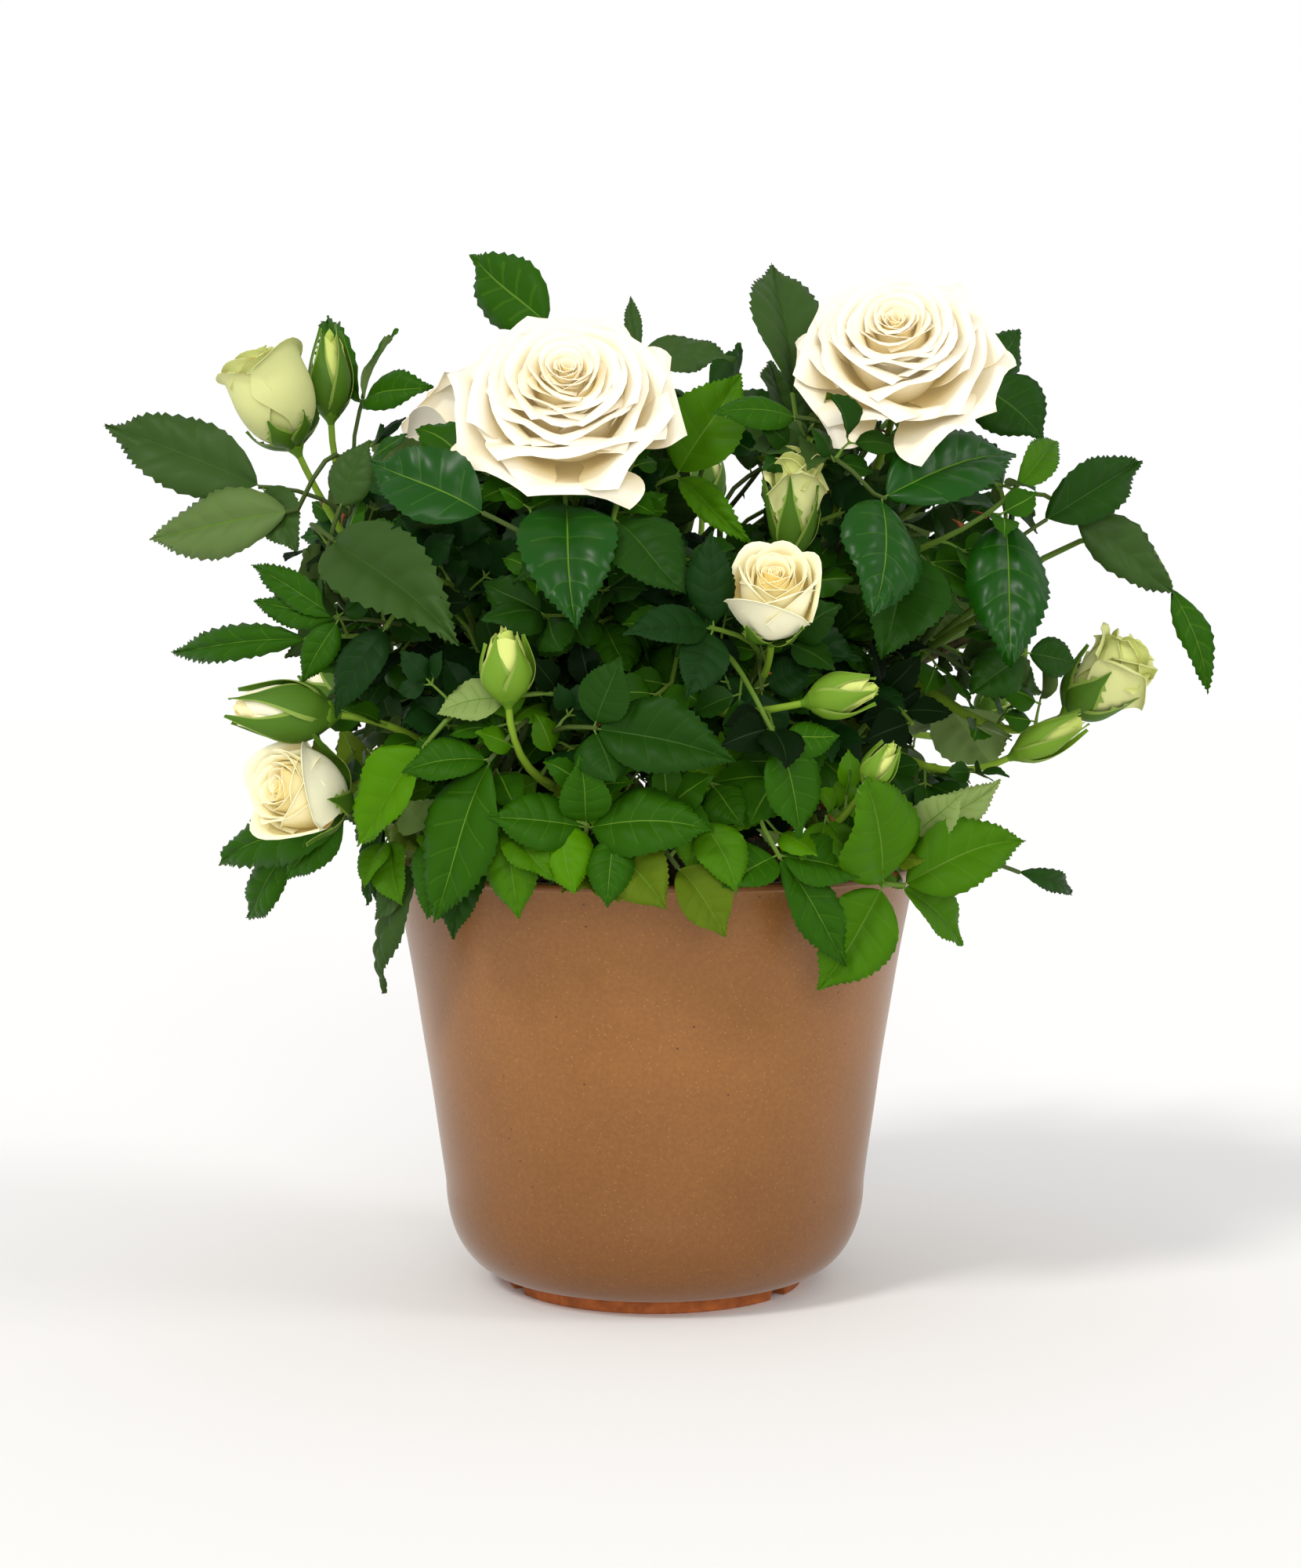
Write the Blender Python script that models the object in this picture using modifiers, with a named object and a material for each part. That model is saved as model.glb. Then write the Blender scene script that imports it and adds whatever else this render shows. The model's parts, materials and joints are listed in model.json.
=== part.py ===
"""A miniature white rose bush growing in a glazed stoneware pot, as separate closed solids.

Metres, +Z up. The origin is the centre of the pot's foot on the floor, and the viewer stands at -Y.
Places on the crown are measured in millimetres on the upright plane through the pot's axis, as
(across, up): across to the viewer's right, up from the floor. A depth behind that plane then moves
the point along its sight line, so that near things keep the place where the viewer sees them.
"""

import math
import random

import bmesh
import bpy
from mathutils import Matrix, Vector
from mathutils.bvhtree import BVHTree

MM = 0.001
CLEARANCE = 0.3 * MM
TEST_CLEARANCE = 0.4 * MM
SEED = 30

# The viewer's eye, which fixes the sight lines
EYE_DISTANCE = 750 * MM
EYE_HEIGHT = 184 * MM

# The pot
RIM_RADIUS = 76.2 * MM
POT_HEIGHT = 122.7 * MM
BOWL_RADIUS = 61.3 * MM
BOWL_TOP = 30 * MM
BOWL_FOOT_RADIUS = 45 * MM
WALL_BOW = 0.75 * MM
WALL_THICKNESS = 4.5 * MM
LIP_ROUNDING = 1.0 * MM
FOOT_RADIUS = 43.2 * MM
FOOT_WIDTH = 5 * MM
FOOT_HEIGHT = 4.2 * MM
FOOT_NECK = 3.36 * MM
FOOT_RECESS = 3.4 * MM
FLOOR_TOP = 10.5 * MM
DRAIN_RADIUS = 7 * MM
WALL_STEPS = 3
BOWL_STEPS = 4
POT_SIDES = 32
NOTCH_ANGLES = (-65, 55, 175)
NOTCH_WIDTH = 7 * MM
NOTCH_HEIGHT = 3 * MM

# The soil that fills the pot
SOIL_TOP = 110 * MM
SOIL_DOME = 2 * MM
SOIL_FLAT_RADIUS = 48 * MM
SOIL_SIDES = 24

# The crown's outer surface, an egg round a centre on the pot's axis
CROWN_WIDTH = 150 * MM
CROWN_DEPTH = 108 * MM
CROWN_HEIGHT = 135 * MM
CROWN_CENTRE = 175 * MM
CROWN_RIM_SHARE = 0.1

# Canes, and the stems that carry on from them inside the masses
CANE_FOOT_RADIUS = 3.3 * MM
CANE_TIP_RADIUS = 2.2 * MM
CANE_SHARE = 0.5
CANE_RISE = 0.62
CANE_STEPS = 5
CANE_SIDES = 6
CANE_COLLAR = 3 * MM
STEM_COLLAR = 3 * MM
STEM_TIP_RADIUS = 1.4 * MM
STEM_SIDES = 5

# Twigs: where on the stem one may start, counted from the nearest point, and how high it may arch
TWIG_RADIUS = 1.3 * MM
STALK_RADIUS = 1.9 * MM
TWIG_TAPER = 0.75
TWIG_STEPS = 2
TWIG_SIDES = 3
TWIG_BEND = 0.45
TWIG_STARTS = (-1, 0, -2, -3)
TWIG_LIFTS = (0, 18 * MM, 36 * MM)
TWIG_OVERRUN = 1.2 * MM
TWIG_POT_MARGIN = 1.5 * MM
TWIG_PROBES = 4

# Leaflets, with sizes as shares of a leaflet's length or width where they have no unit
LEAF_THICKNESS = 1.2 * MM
LEAF_ROOT = 0.3 * MM
LEAF_WIDEST_AT = 0.42
LEAF_THICKEST_AT = 0.24
LEAF_PROBE_AT = 0.75
LEAF_ARCH = 0.07
LEAF_FOLD = 0.10
LEAF_UPTURN = 0.55
LEAF_POT_MARGIN = 2 * MM
BLADE_FROM = 6.0 * MM

# Flowers: the two powers that shape the profile, the sides and rings of the body, and the outer
# petals' number, foot height, reach, tip height and width
FLOWER_SUNK = 2 * MM
FLOWER_PROFILE = {"open": (1.5, 0.7), "half": (1.15, 0.62), "bud": (0.75, 0.85)}
FLOWER_SIDES = {"open": (10, 6), "half": (8, 5), "bud": (5, 4)}
OUTER_PETALS = {"open": (7, 0.42, 1.0, 0.52, 0.95), "half": (4, 0.35, 1.08, 0.62, 1.0)}
PETAL_FOOT_AT = 0.3
PETAL_TURN = 0.3

# Each mass of leaves: where its stem ends (across, up, depth), and where its cane leaves the soil
# (right, back)
MASSES = {
    "left_rose_mass": ((-24, 212, -40), (-9, -15)),
    "right_rose_mass": ((66, 222, -26), (12, -9)),
    "middle_mass": ((26, 180, -46), (6, -22)),
    "front_mass": ((-16, 150, -46), (-2, -32)),
    "lower_left_mass": ((-66, 144, -32), (-22, -20)),
    "left_mass": ((-88, 200, -6), (-24, -4)),
    "lower_right_mass": ((58, 140, -40), (22, -24)),
    "right_mass": ((100, 192, -4), (25, -2)),
    "back_left_mass": ((-62, 195, 58), (-18, 15)),
    "back_mass": ((2, 222, 30), (2, 12)),
    "back_right_mass": ((66, 188, 62), (19, 16)),
}

# Flowers and buds: mass, kind, foot (across, up, depth), the way it faces (turn to the right of the
# viewer, tilt up, in degrees), radius, height
FLOWERS = (
    ("left_rose_mass", "open", (-24, 243, -56), (0, 42), 30, 31),
    ("right_rose_mass", "open", (70, 258, -46), (4, 44), 27, 29),
    ("middle_mass", "half", (34, 190, -88), (0, 48), 14, 22),
    ("lower_left_mass", "half", (-92, 141, -62), (-48, 12), 16, 23),
    ("left_mass", "half", (-105, 245, -18), (-75, 66), 14, 29),
    ("right_mass", "half", (122, 168, -22), (80, 42), 13, 26),
    ("left_mass", "bud", (-94, 254, -8), (0, 84), 6.5, 23),
    ("middle_mass", "bud", (40, 214, -62), (10, 82), 9, 27),
    ("lower_left_mass", "bud", (-96, 166, -66), (-84, 4), 9, 26),
    ("front_mass", "bud", (-43, 172, -92), (-10, 80), 7, 18),
    ("middle_mass", "bud", (47, 170, -90), (80, 12), 6, 17),
    ("right_mass", "bud", (107, 155, -44), (80, 28), 5, 20),
    ("lower_right_mass", "bud", (63, 147, -84), (60, 55), 4, 12),
    ("back_left_mass", "open", (-48, 238, 70), (-160, 46), 25, 27),
    ("back_right_mass", "half", (62, 212, 86), (150, 38), 16, 23),
    ("back_left_mass", "bud", (-88, 170, 80), (-130, 24), 8, 24),
    ("back_mass", "bud", (14, 226, 84), (176, 66), 8, 24),
    ("back_right_mass", "bud", (96, 166, 74), (126, 36), 6, 18),
)

# Fans of leaflets that face the viewer: mass, node (across, up, behind the crown's surface), then
# for each leaflet its tip (across, up, behind the surface) and its width
FANS = (
    ("left_rose_mass", (-31, 279, 40), ((-53, 299, 34, 20),)),
    ("left_rose_mass", (-5, 270, 44), ((23, 271, 30, 15), (-7, 287, 40, 5))),
    ("left_rose_mass", (-49, 224, 12), ((-83, 240, 2, 21),)),
    ("left_rose_mass", (-26, 228, 24), ((-23, 191, 4, 25),)),
    ("left_rose_mass", (-12, 223, 22), ((9, 201, 12, 20), (-42, 205, 22, 15))),
    ("right_rose_mass", (40, 258, 34), ((34, 296, 26, 24),)),
    ("right_rose_mass", (42, 252, 18), ((17, 255, 12, 11),)),
    ("right_rose_mass", (94, 262, 34), ((113, 246, 22, 22), (106, 278, 34, 14))),
    ("right_rose_mass", (66, 229, 14), ((106, 244, 2, 24), (64, 195, 2, 24))),
    ("right_rose_mass", (105, 232, 14), ((118, 247, 8, 10),)),
    ("middle_mass", (6, 235, 44), ((25, 265, 26, 20), (28, 216, 30, 9))),
    ("middle_mass", (17, 191, 12), ((-9, 191, 2, 13), (16, 219, 6, 12), (9, 171, 2, 13))),
    ("middle_mass", (31, 174, 30), ((16, 170, 28, 10), (32, 154, 26, 13), (46, 180, 28, 12))),
    ("front_mass", (-42, 171, 18), ((-64, 167, 12, 12),)),
    ("front_mass", (-18, 162, 14), ((-10, 183, 8, 14), (23, 153, 2, 19), (-12, 146, 4, 15))),
    ("front_mass", (-20, 133, 12), ((16, 133, 0, 18), (-49, 136, 2, 16), (-22, 153, 6, 13))),
    ("front_mass", (-14, 129, 12), ((3, 109, -4, 17),)),
    ("front_mass", (6, 122, 8), ((21, 101, -6, 15),)),
    ("middle_mass", (36, 159, 10), ((44, 130, 2, 16), (54, 160, 8, 10))),
    ("lower_left_mass", (-48, 153, 12), ((-65, 105, -4, 21), (-74, 149, 4, 13))),
    ("lower_left_mass", (-52, 134, 24), ((-59, 100, 8, 17),)),
    ("lower_left_mass", (-67, 157, 12), ((-89, 128, 0, 19),)),
    ("lower_left_mass", (-90, 136, 22), ((-129, 122, 10, 16), (-109, 117, 14, 12))),
    ("lower_left_mass", (-107, 127, 26), ((-120, 106, 20, 12),)),
    ("lower_left_mass", (-79, 134, 26), ((-85, 110, 18, 10), (-80, 108, 26, 8))),
    ("lower_left_mass", (-69, 122, 22), ((-83, 106, 16, 10), (-83, 84, 12, 11))),
    ("left_mass", (-114, 232, 20), ((-161, 251, 12, 21), (-105, 214, 22, 14))),
    ("left_mass", (-106, 225, 20), ((-147, 217, 10, 19),)),
    ("left_mass", (-94, 217, 16), ((-59, 189, 2, 23),)),
    ("left_mass", (-92, 225, 16), ((-84, 246, 8, 14),)),
    ("left_mass", (-92, 194, 22), ((-119, 210, 14, 9), (-117, 199, 20, 10), (-103, 175, 18, 10))),
    ("left_mass", (-101, 188, 26), ((-142, 184, 16, 10),)),
    ("left_mass", (-78, 192, 18), ((-95, 166, 8, 16),)),
    ("left_mass", (-85, 256, 54), ((-96, 283, 58, 11), (-75, 278, 52, 6), (-66, 262, 40, 14))),
    ("lower_right_mass", (67, 116, 12), ((62, 148, 2, 25), (48, 85, -4, 21))),
    ("lower_right_mass", (72, 116, 12), ((109, 130, 0, 19), (90, 98, 4, 14))),
    ("lower_right_mass", (36, 125, 10), ((20, 116, 0, 14), (56, 92, -4, 14), (60, 118, 6, 15))),
    ("lower_right_mass", (75, 130, 22), ((90, 143, 14, 11), (101, 147, 24, 10))),
    ("lower_right_mass", (106, 120, 30), ((124, 113, 26, 6),)),
    ("right_rose_mass", (102, 223, 14), ((104, 180, 0, 22),)),
    ("right_rose_mass", (73, 214, 26), ((66, 182, 16, 25), (90, 195, 18, 9))),
    ("right_mass", (113, 222, 28), ((142, 240, 20, 16),)),
    ("right_mass", (121, 225, 28), ((152, 201, 18, 15),)),
    ("right_mass", (150, 204, 22), ((162, 172, 18, 10),)),
    ("right_mass", (108, 184, 26), ((123, 181, 22, 11), (92, 172, 22, 14))),
)

# Where the viewer sees sky through the crown: low and high corners (across, up)
SKY_WINDOWS = (
    ((9, 217), (31, 241)),
    ((-24, 277), (24, 330)),
    ((113, 190), (135, 236)),
    ((-136, 168), (-108, 183)),
    ((-112, 190), (-98, 200)),
    ((78, 150), (92, 164)),
)

# How far the unlit mass of the crown reaches from OUTLINE_CENTRE, every OUTLINE_STEP degrees from
# the viewer's right round to the left by way of the top
OUTLINE_CENTRE = (0, 196)
OUTLINE_STEP = 22.5
OUTLINE_REACH = (116, 118, 108, 88, 74, 84, 88, 104, 112, 108, 112, 96, 98, 96, 112, 116)

# Sprays that a rule spreads evenly over the crown
SPRAY_COUNT = 57
SPRAY_TRIES = 8
SPRAY_LEAST = 3
SPRAY_SURFACE = (112 * MM, 104 * MM, 92 * MM)
SPRAY_CENTRE = Vector((0, 0, 182 * MM))
SPRAY_LOWEST = -0.74
SPRAY_LOW_FULLNESS = 0.4
SPRAY_TOP_FULLNESS = 0.9
SPRAY_INSET = 12 * MM
SPRAY_FRONT_INSET = 40 * MM
SPRAY_FRONT_FROM = -0.35
SPRAY_LEAFLET = (27 * MM, 37 * MM)
SPRAY_LEAF_SHAPE = 0.60
SPRAY_SWING = 0.8
SPRAY_DROOP = (0.1, 0.6)
SPRAY_ROLL = 0.35
SPRAY_NODE_AT = 0.5
SPRAY_PAIR_GAP = 0.35
GOLDEN_ANGLE = math.radians(137.508)

# A spray's leaflets: pairs back from the end leaflet, forward and sideways lean, and size
SPRAY_LEAFLETS = (
    (0, 1, 0, 1.0),
    (0, 0.55, -1, 0.86),
    (1, 0.35, -1, 0.66),
    (0, 0.55, 1, 0.86),
    (1, 0.35, 1, 0.66),
)

# A fan's leaflets: how far one may move in or out where a neighbour is in its way, and its roll
FAN_SHIFTS = (0, 5, -5, 10, -10, 16)
FAN_ROLL = 0.2

# More sprays on the crown's top, and over the pot's rim at the back and the sides, at angles from,
# to, and step, in degrees
TOP_SPRAY_ANGLES = (-20, 340, 60)
TOP_SPRAY_CENTRE = Vector((4, 22, 248)) * MM
TOP_SPRAY_RADIUS = 34 * MM
TOP_SPRAY_SLOPE = 2
RIM_SPRAY_ANGLES = (-12, 200, 26)
RIM_SPRAY_RADIUS = 84 * MM
RIM_SPRAY_HEIGHT = 138 * MM
RIM_SPRAY_SLOPE = 0.1


def place(across, up, depth):
    """The point that the viewer sees at (across, up), depth behind the pot's axis; millimetres."""
    nearer = 1 + depth * MM / EYE_DISTANCE
    height = EYE_HEIGHT + (up * MM - EYE_HEIGHT) * nearer
    return Vector((across * MM * nearer, depth * MM, height))


def seen(point):
    """Where the viewer sees a point, as (across, up) in millimetres."""
    nearer = 1 + point.y / EYE_DISTANCE
    return point.x / nearer / MM, (EYE_HEIGHT + (point.z - EYE_HEIGHT) / nearer) / MM


def on_crown(across, up, behind):
    """The point seen at (across, up), behind millimetres inside the crown's near surface."""
    share = 1 - (across * MM / CROWN_WIDTH) ** 2 - ((up * MM - CROWN_CENTRE) / CROWN_HEIGHT) ** 2
    depth = -CROWN_DEPTH / MM * math.sqrt(max(CROWN_RIM_SHARE, share))
    return place(across, up, depth + behind)


def wall_radius(height):
    """The pot's outer radius at a height above the floor."""
    if height >= BOWL_TOP:
        share = min(1, (height - BOWL_TOP) / (POT_HEIGHT - BOWL_TOP))
        bow = 4 * WALL_BOW * share * (1 - share)
        return BOWL_RADIUS + (RIM_RADIUS - BOWL_RADIUS) * share - bow
    drop = (BOWL_TOP - max(height, FOOT_HEIGHT)) / (BOWL_TOP - FOOT_HEIGHT)
    return BOWL_FOOT_RADIUS + (BOWL_RADIUS - BOWL_FOOT_RADIUS) * math.sqrt(1 - drop**2)


def in_pot(point, margin):
    """True where a point lies in the pot's wall or the soil, or within a margin of them."""
    if point.z > POT_HEIGHT + margin:
        return False
    radius = math.hypot(point.x, point.y)
    if radius > wall_radius(point.z) + margin:
        return False
    inside_wall = radius < wall_radius(point.z) - WALL_THICKNESS - margin
    return not (inside_wall and point.z > SOIL_TOP + SOIL_DOME + margin)


def in_sky(point):
    """True where a point would close one of the crown's gaps or pass its outline."""
    across, up = seen(point)
    for low, high in SKY_WINDOWS:
        if low[0] < across < high[0] and low[1] < up < high[1]:
            return True
    right = across - OUTLINE_CENTRE[0]
    above = up - OUTLINE_CENTRE[1]
    turn = math.degrees(math.atan2(above, right)) % 360 / OUTLINE_STEP
    before = int(turn) % len(OUTLINE_REACH)
    after = (before + 1) % len(OUTLINE_REACH)
    share = turn - int(turn)
    reach = OUTLINE_REACH[before] * (1 - share) + OUTLINE_REACH[after] * share
    return math.hypot(right, above) > reach


def facing(turn, tilt):
    """The unit vector that faces turn degrees to the viewer's right of the viewer, tilted up."""
    turn = math.radians(turn)
    tilt = math.radians(tilt)
    return Vector((math.sin(turn) * math.cos(tilt), -math.cos(turn) * math.cos(tilt), math.sin(tilt)))


def spray_places():
    """Where sprays grow and which way they face: over the crown, on its top, and over the rim."""
    places = []
    for angle in range(*TOP_SPRAY_ANGLES):
        across = Vector((math.cos(math.radians(angle)), math.sin(math.radians(angle)), 0))
        centre = TOP_SPRAY_CENTRE + across * TOP_SPRAY_RADIUS
        places.append((centre, (across + Vector((0, 0, TOP_SPRAY_SLOPE))).normalized()))
    for angle in range(*RIM_SPRAY_ANGLES):
        across = Vector((math.cos(math.radians(angle)), math.sin(math.radians(angle)), 0))
        centre = across * RIM_SPRAY_RADIUS + Vector((0, 0, RIM_SPRAY_HEIGHT))
        places.append((centre, (across + Vector((0, 0, RIM_SPRAY_SLOPE))).normalized()))
    for number in range(SPRAY_COUNT):
        level = 1 - (number + 0.5) / SPRAY_COUNT * (1 - SPRAY_LOWEST)
        turn = number * GOLDEN_ANGLE
        flat = math.sqrt(1 - level**2)
        wide = flat ** (SPRAY_LOW_FULLNESS if level < 0 else SPRAY_TOP_FULLNESS)
        toward = Vector((math.cos(turn) * wide, math.sin(turn) * wide, level))
        surface = Vector([toward[i] * SPRAY_SURFACE[i] for i in range(3)])
        outward = Vector([toward[i] / SPRAY_SURFACE[i] for i in range(3)]).normalized()
        inset = SPRAY_FRONT_INSET if toward.y < SPRAY_FRONT_FROM else SPRAY_INSET
        places.append((SPRAY_CENTRE + surface - outward * inset, outward))
    return places


def leaf_normal(base, tip):
    """The way a leaf's upper side faces: out of the crown and a little up, square to the leaf."""
    middle = (base + tip) / 2
    outward = Vector((middle.x / CROWN_WIDTH**2, middle.y / CROWN_DEPTH**2, 0)).normalized()
    wanted = outward + Vector((0, 0, LEAF_UPTURN))
    along = (tip - base).normalized()
    return (wanted - along * wanted.dot(along)).normalized()


def bend(start, control, end, steps):
    """Points along a smooth bend from start to end."""
    points = []
    for step in range(steps + 1):
        share = step / steps
        points.append(start * (1 - share) ** 2 + control * 2 * share * (1 - share) + end * share**2)
    return points


def tube_mesh(path, first_radius, last_radius, sides):
    """A closed tapering tube: a polygon extruded, turned and scaled from point to point of a path."""
    mesh = bmesh.new()
    last = len(path) - 1
    tangent = (path[1] - path[0]).normalized()
    made = bmesh.ops.create_circle(mesh, cap_ends=True, segments=sides, radius=first_radius)
    cap = made["verts"][0].link_faces[0]
    start = Matrix.Translation(path[0]) @ tangent.to_track_quat("Z", "Y").to_matrix().to_4x4()
    bmesh.ops.transform(mesh, matrix=start, verts=cap.verts)
    for index in range(1, last + 1):
        made = bmesh.ops.extrude_face_region(mesh, geom=[cap])["geom"]
        if index > 1:
            bmesh.ops.delete(mesh, geom=[cap], context="FACES_ONLY")
        cap = next(item for item in made if isinstance(item, bmesh.types.BMFace))
        new_tangent = (path[min(index + 1, last)] - path[index - 1]).normalized()
        turn = tangent.rotation_difference(new_tangent).to_matrix()
        before = first_radius + (last_radius - first_radius) * (index - 1) / last
        after = first_radius + (last_radius - first_radius) * index / last
        for corner in cap.verts:
            corner.co = path[index] + turn @ (corner.co - path[index - 1]) * after / before
        tangent = new_tangent
    bmesh.ops.recalc_face_normals(mesh, faces=mesh.faces)
    bmesh.ops.triangulate(mesh, faces=mesh.faces)
    return mesh


def cane_mesh(path):
    """A cane, from its flat cut on the soil to its tip."""
    return tube_mesh(path, CANE_FOOT_RADIUS, CANE_TIP_RADIUS, CANE_SIDES)


def stem_mesh(path):
    """The stem inside a mass, which carries on from its cane's tip."""
    return tube_mesh(path, CANE_TIP_RADIUS, STEM_TIP_RADIUS, STEM_SIDES)


def leaf_mesh(base, tip, normal, width, margin=0):
    """A leaf as an eight-sided lens: its root sunk behind base, arched and folded up at the edges."""
    mesh = bmesh.new()
    bmesh.ops.create_uvsphere(mesh, u_segments=4, v_segments=2, radius=1)
    along = (tip - base).normalized()
    side = normal.cross(along)
    root = base - along * LEAF_ROOT
    length = (tip - root).length + margin
    for corner in mesh.verts:
        end = round(corner.co.x)
        edge = round(corner.co.y)
        share = (1 + end) / 2 if end else LEAF_WIDEST_AT if edge else LEAF_THICKEST_AT
        thick = corner.co.z * (LEAF_THICKNESS / 2 + margin)
        arch = 0 if end else LEAF_ARCH * length + abs(edge) * LEAF_FOLD * width
        out = edge * (width / 2 + margin)
        corner.co = root + along * length * share + side * out + normal * (thick + arch)
    return mesh


def flower_radius(kind, share):
    """A flower's radius at a share of its height, each as a share of the whole."""
    skew, fullness = FLOWER_PROFILE[kind]
    return math.sin(math.pi * share**skew) ** fullness


def flower_mesh(kind, foot, axis, radius, height, margin=0):
    """A flower's body: a ball drawn out to the flower's own profile."""
    sides, rings = FLOWER_SIDES[kind]
    mesh = bmesh.new()
    bmesh.ops.create_uvsphere(mesh, u_segments=sides, v_segments=rings, radius=1)
    frame = axis.to_track_quat("Z", "Y").to_matrix()
    for corner in mesh.verts:
        share = min(1, 0.5 + math.asin(max(-1, min(1, corner.co.z))) / math.pi)
        flat = Vector((corner.co.x, corner.co.y, 0))
        wide = flower_radius(kind, share) * radius + margin
        reach = flat.normalized() * wide if flat.length > 0.01 else flat * 0
        corner.co = foot + frame @ (reach + Vector((0, 0, share * (height + margin) - FLOWER_SUNK)))
    bmesh.ops.triangulate(mesh, faces=mesh.faces)
    return mesh


def petal_plan(kind, foot, axis, radius, height):
    """The outer petals that stand out of a flower: base, tip, normal and width of each."""
    if kind not in OUTER_PETALS:
        return []
    count, low, reach, tip_height, width = OUTER_PETALS[kind]
    frame = axis.to_track_quat("Z", "Y").to_matrix()
    petals = []
    for number in range(count):
        angle = 2 * math.pi * (number + PETAL_TURN) / count
        out = frame @ Vector((math.cos(angle), math.sin(angle), 0))
        base = foot + out * radius * PETAL_FOOT_AT + axis * height * low
        tip = foot + out * radius * reach + axis * height * tip_height
        along = (tip - base).normalized()
        normal = (axis - along * axis.dot(along)).normalized()
        petals.append((base, tip, normal, width * radius))
    return petals


def touches(mesh, solids):
    """True where a mesh touches any of the solids given as (box, hull)."""
    hull = BVHTree.FromBMesh(mesh)
    low, high = box_of(mesh)
    for (other_low, other_high), other in solids:
        apart = any(low[i] > other_high[i] or high[i] < other_low[i] for i in range(3))
        if not apart and hull.overlap(other):
            return True
    return False


def box_of(mesh):
    """The low and high corners of a mesh."""
    low = [min(corner.co[i] for corner in mesh.verts) for i in range(3)]
    high = [max(corner.co[i] for corner in mesh.verts) for i in range(3)]
    return low, high


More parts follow.
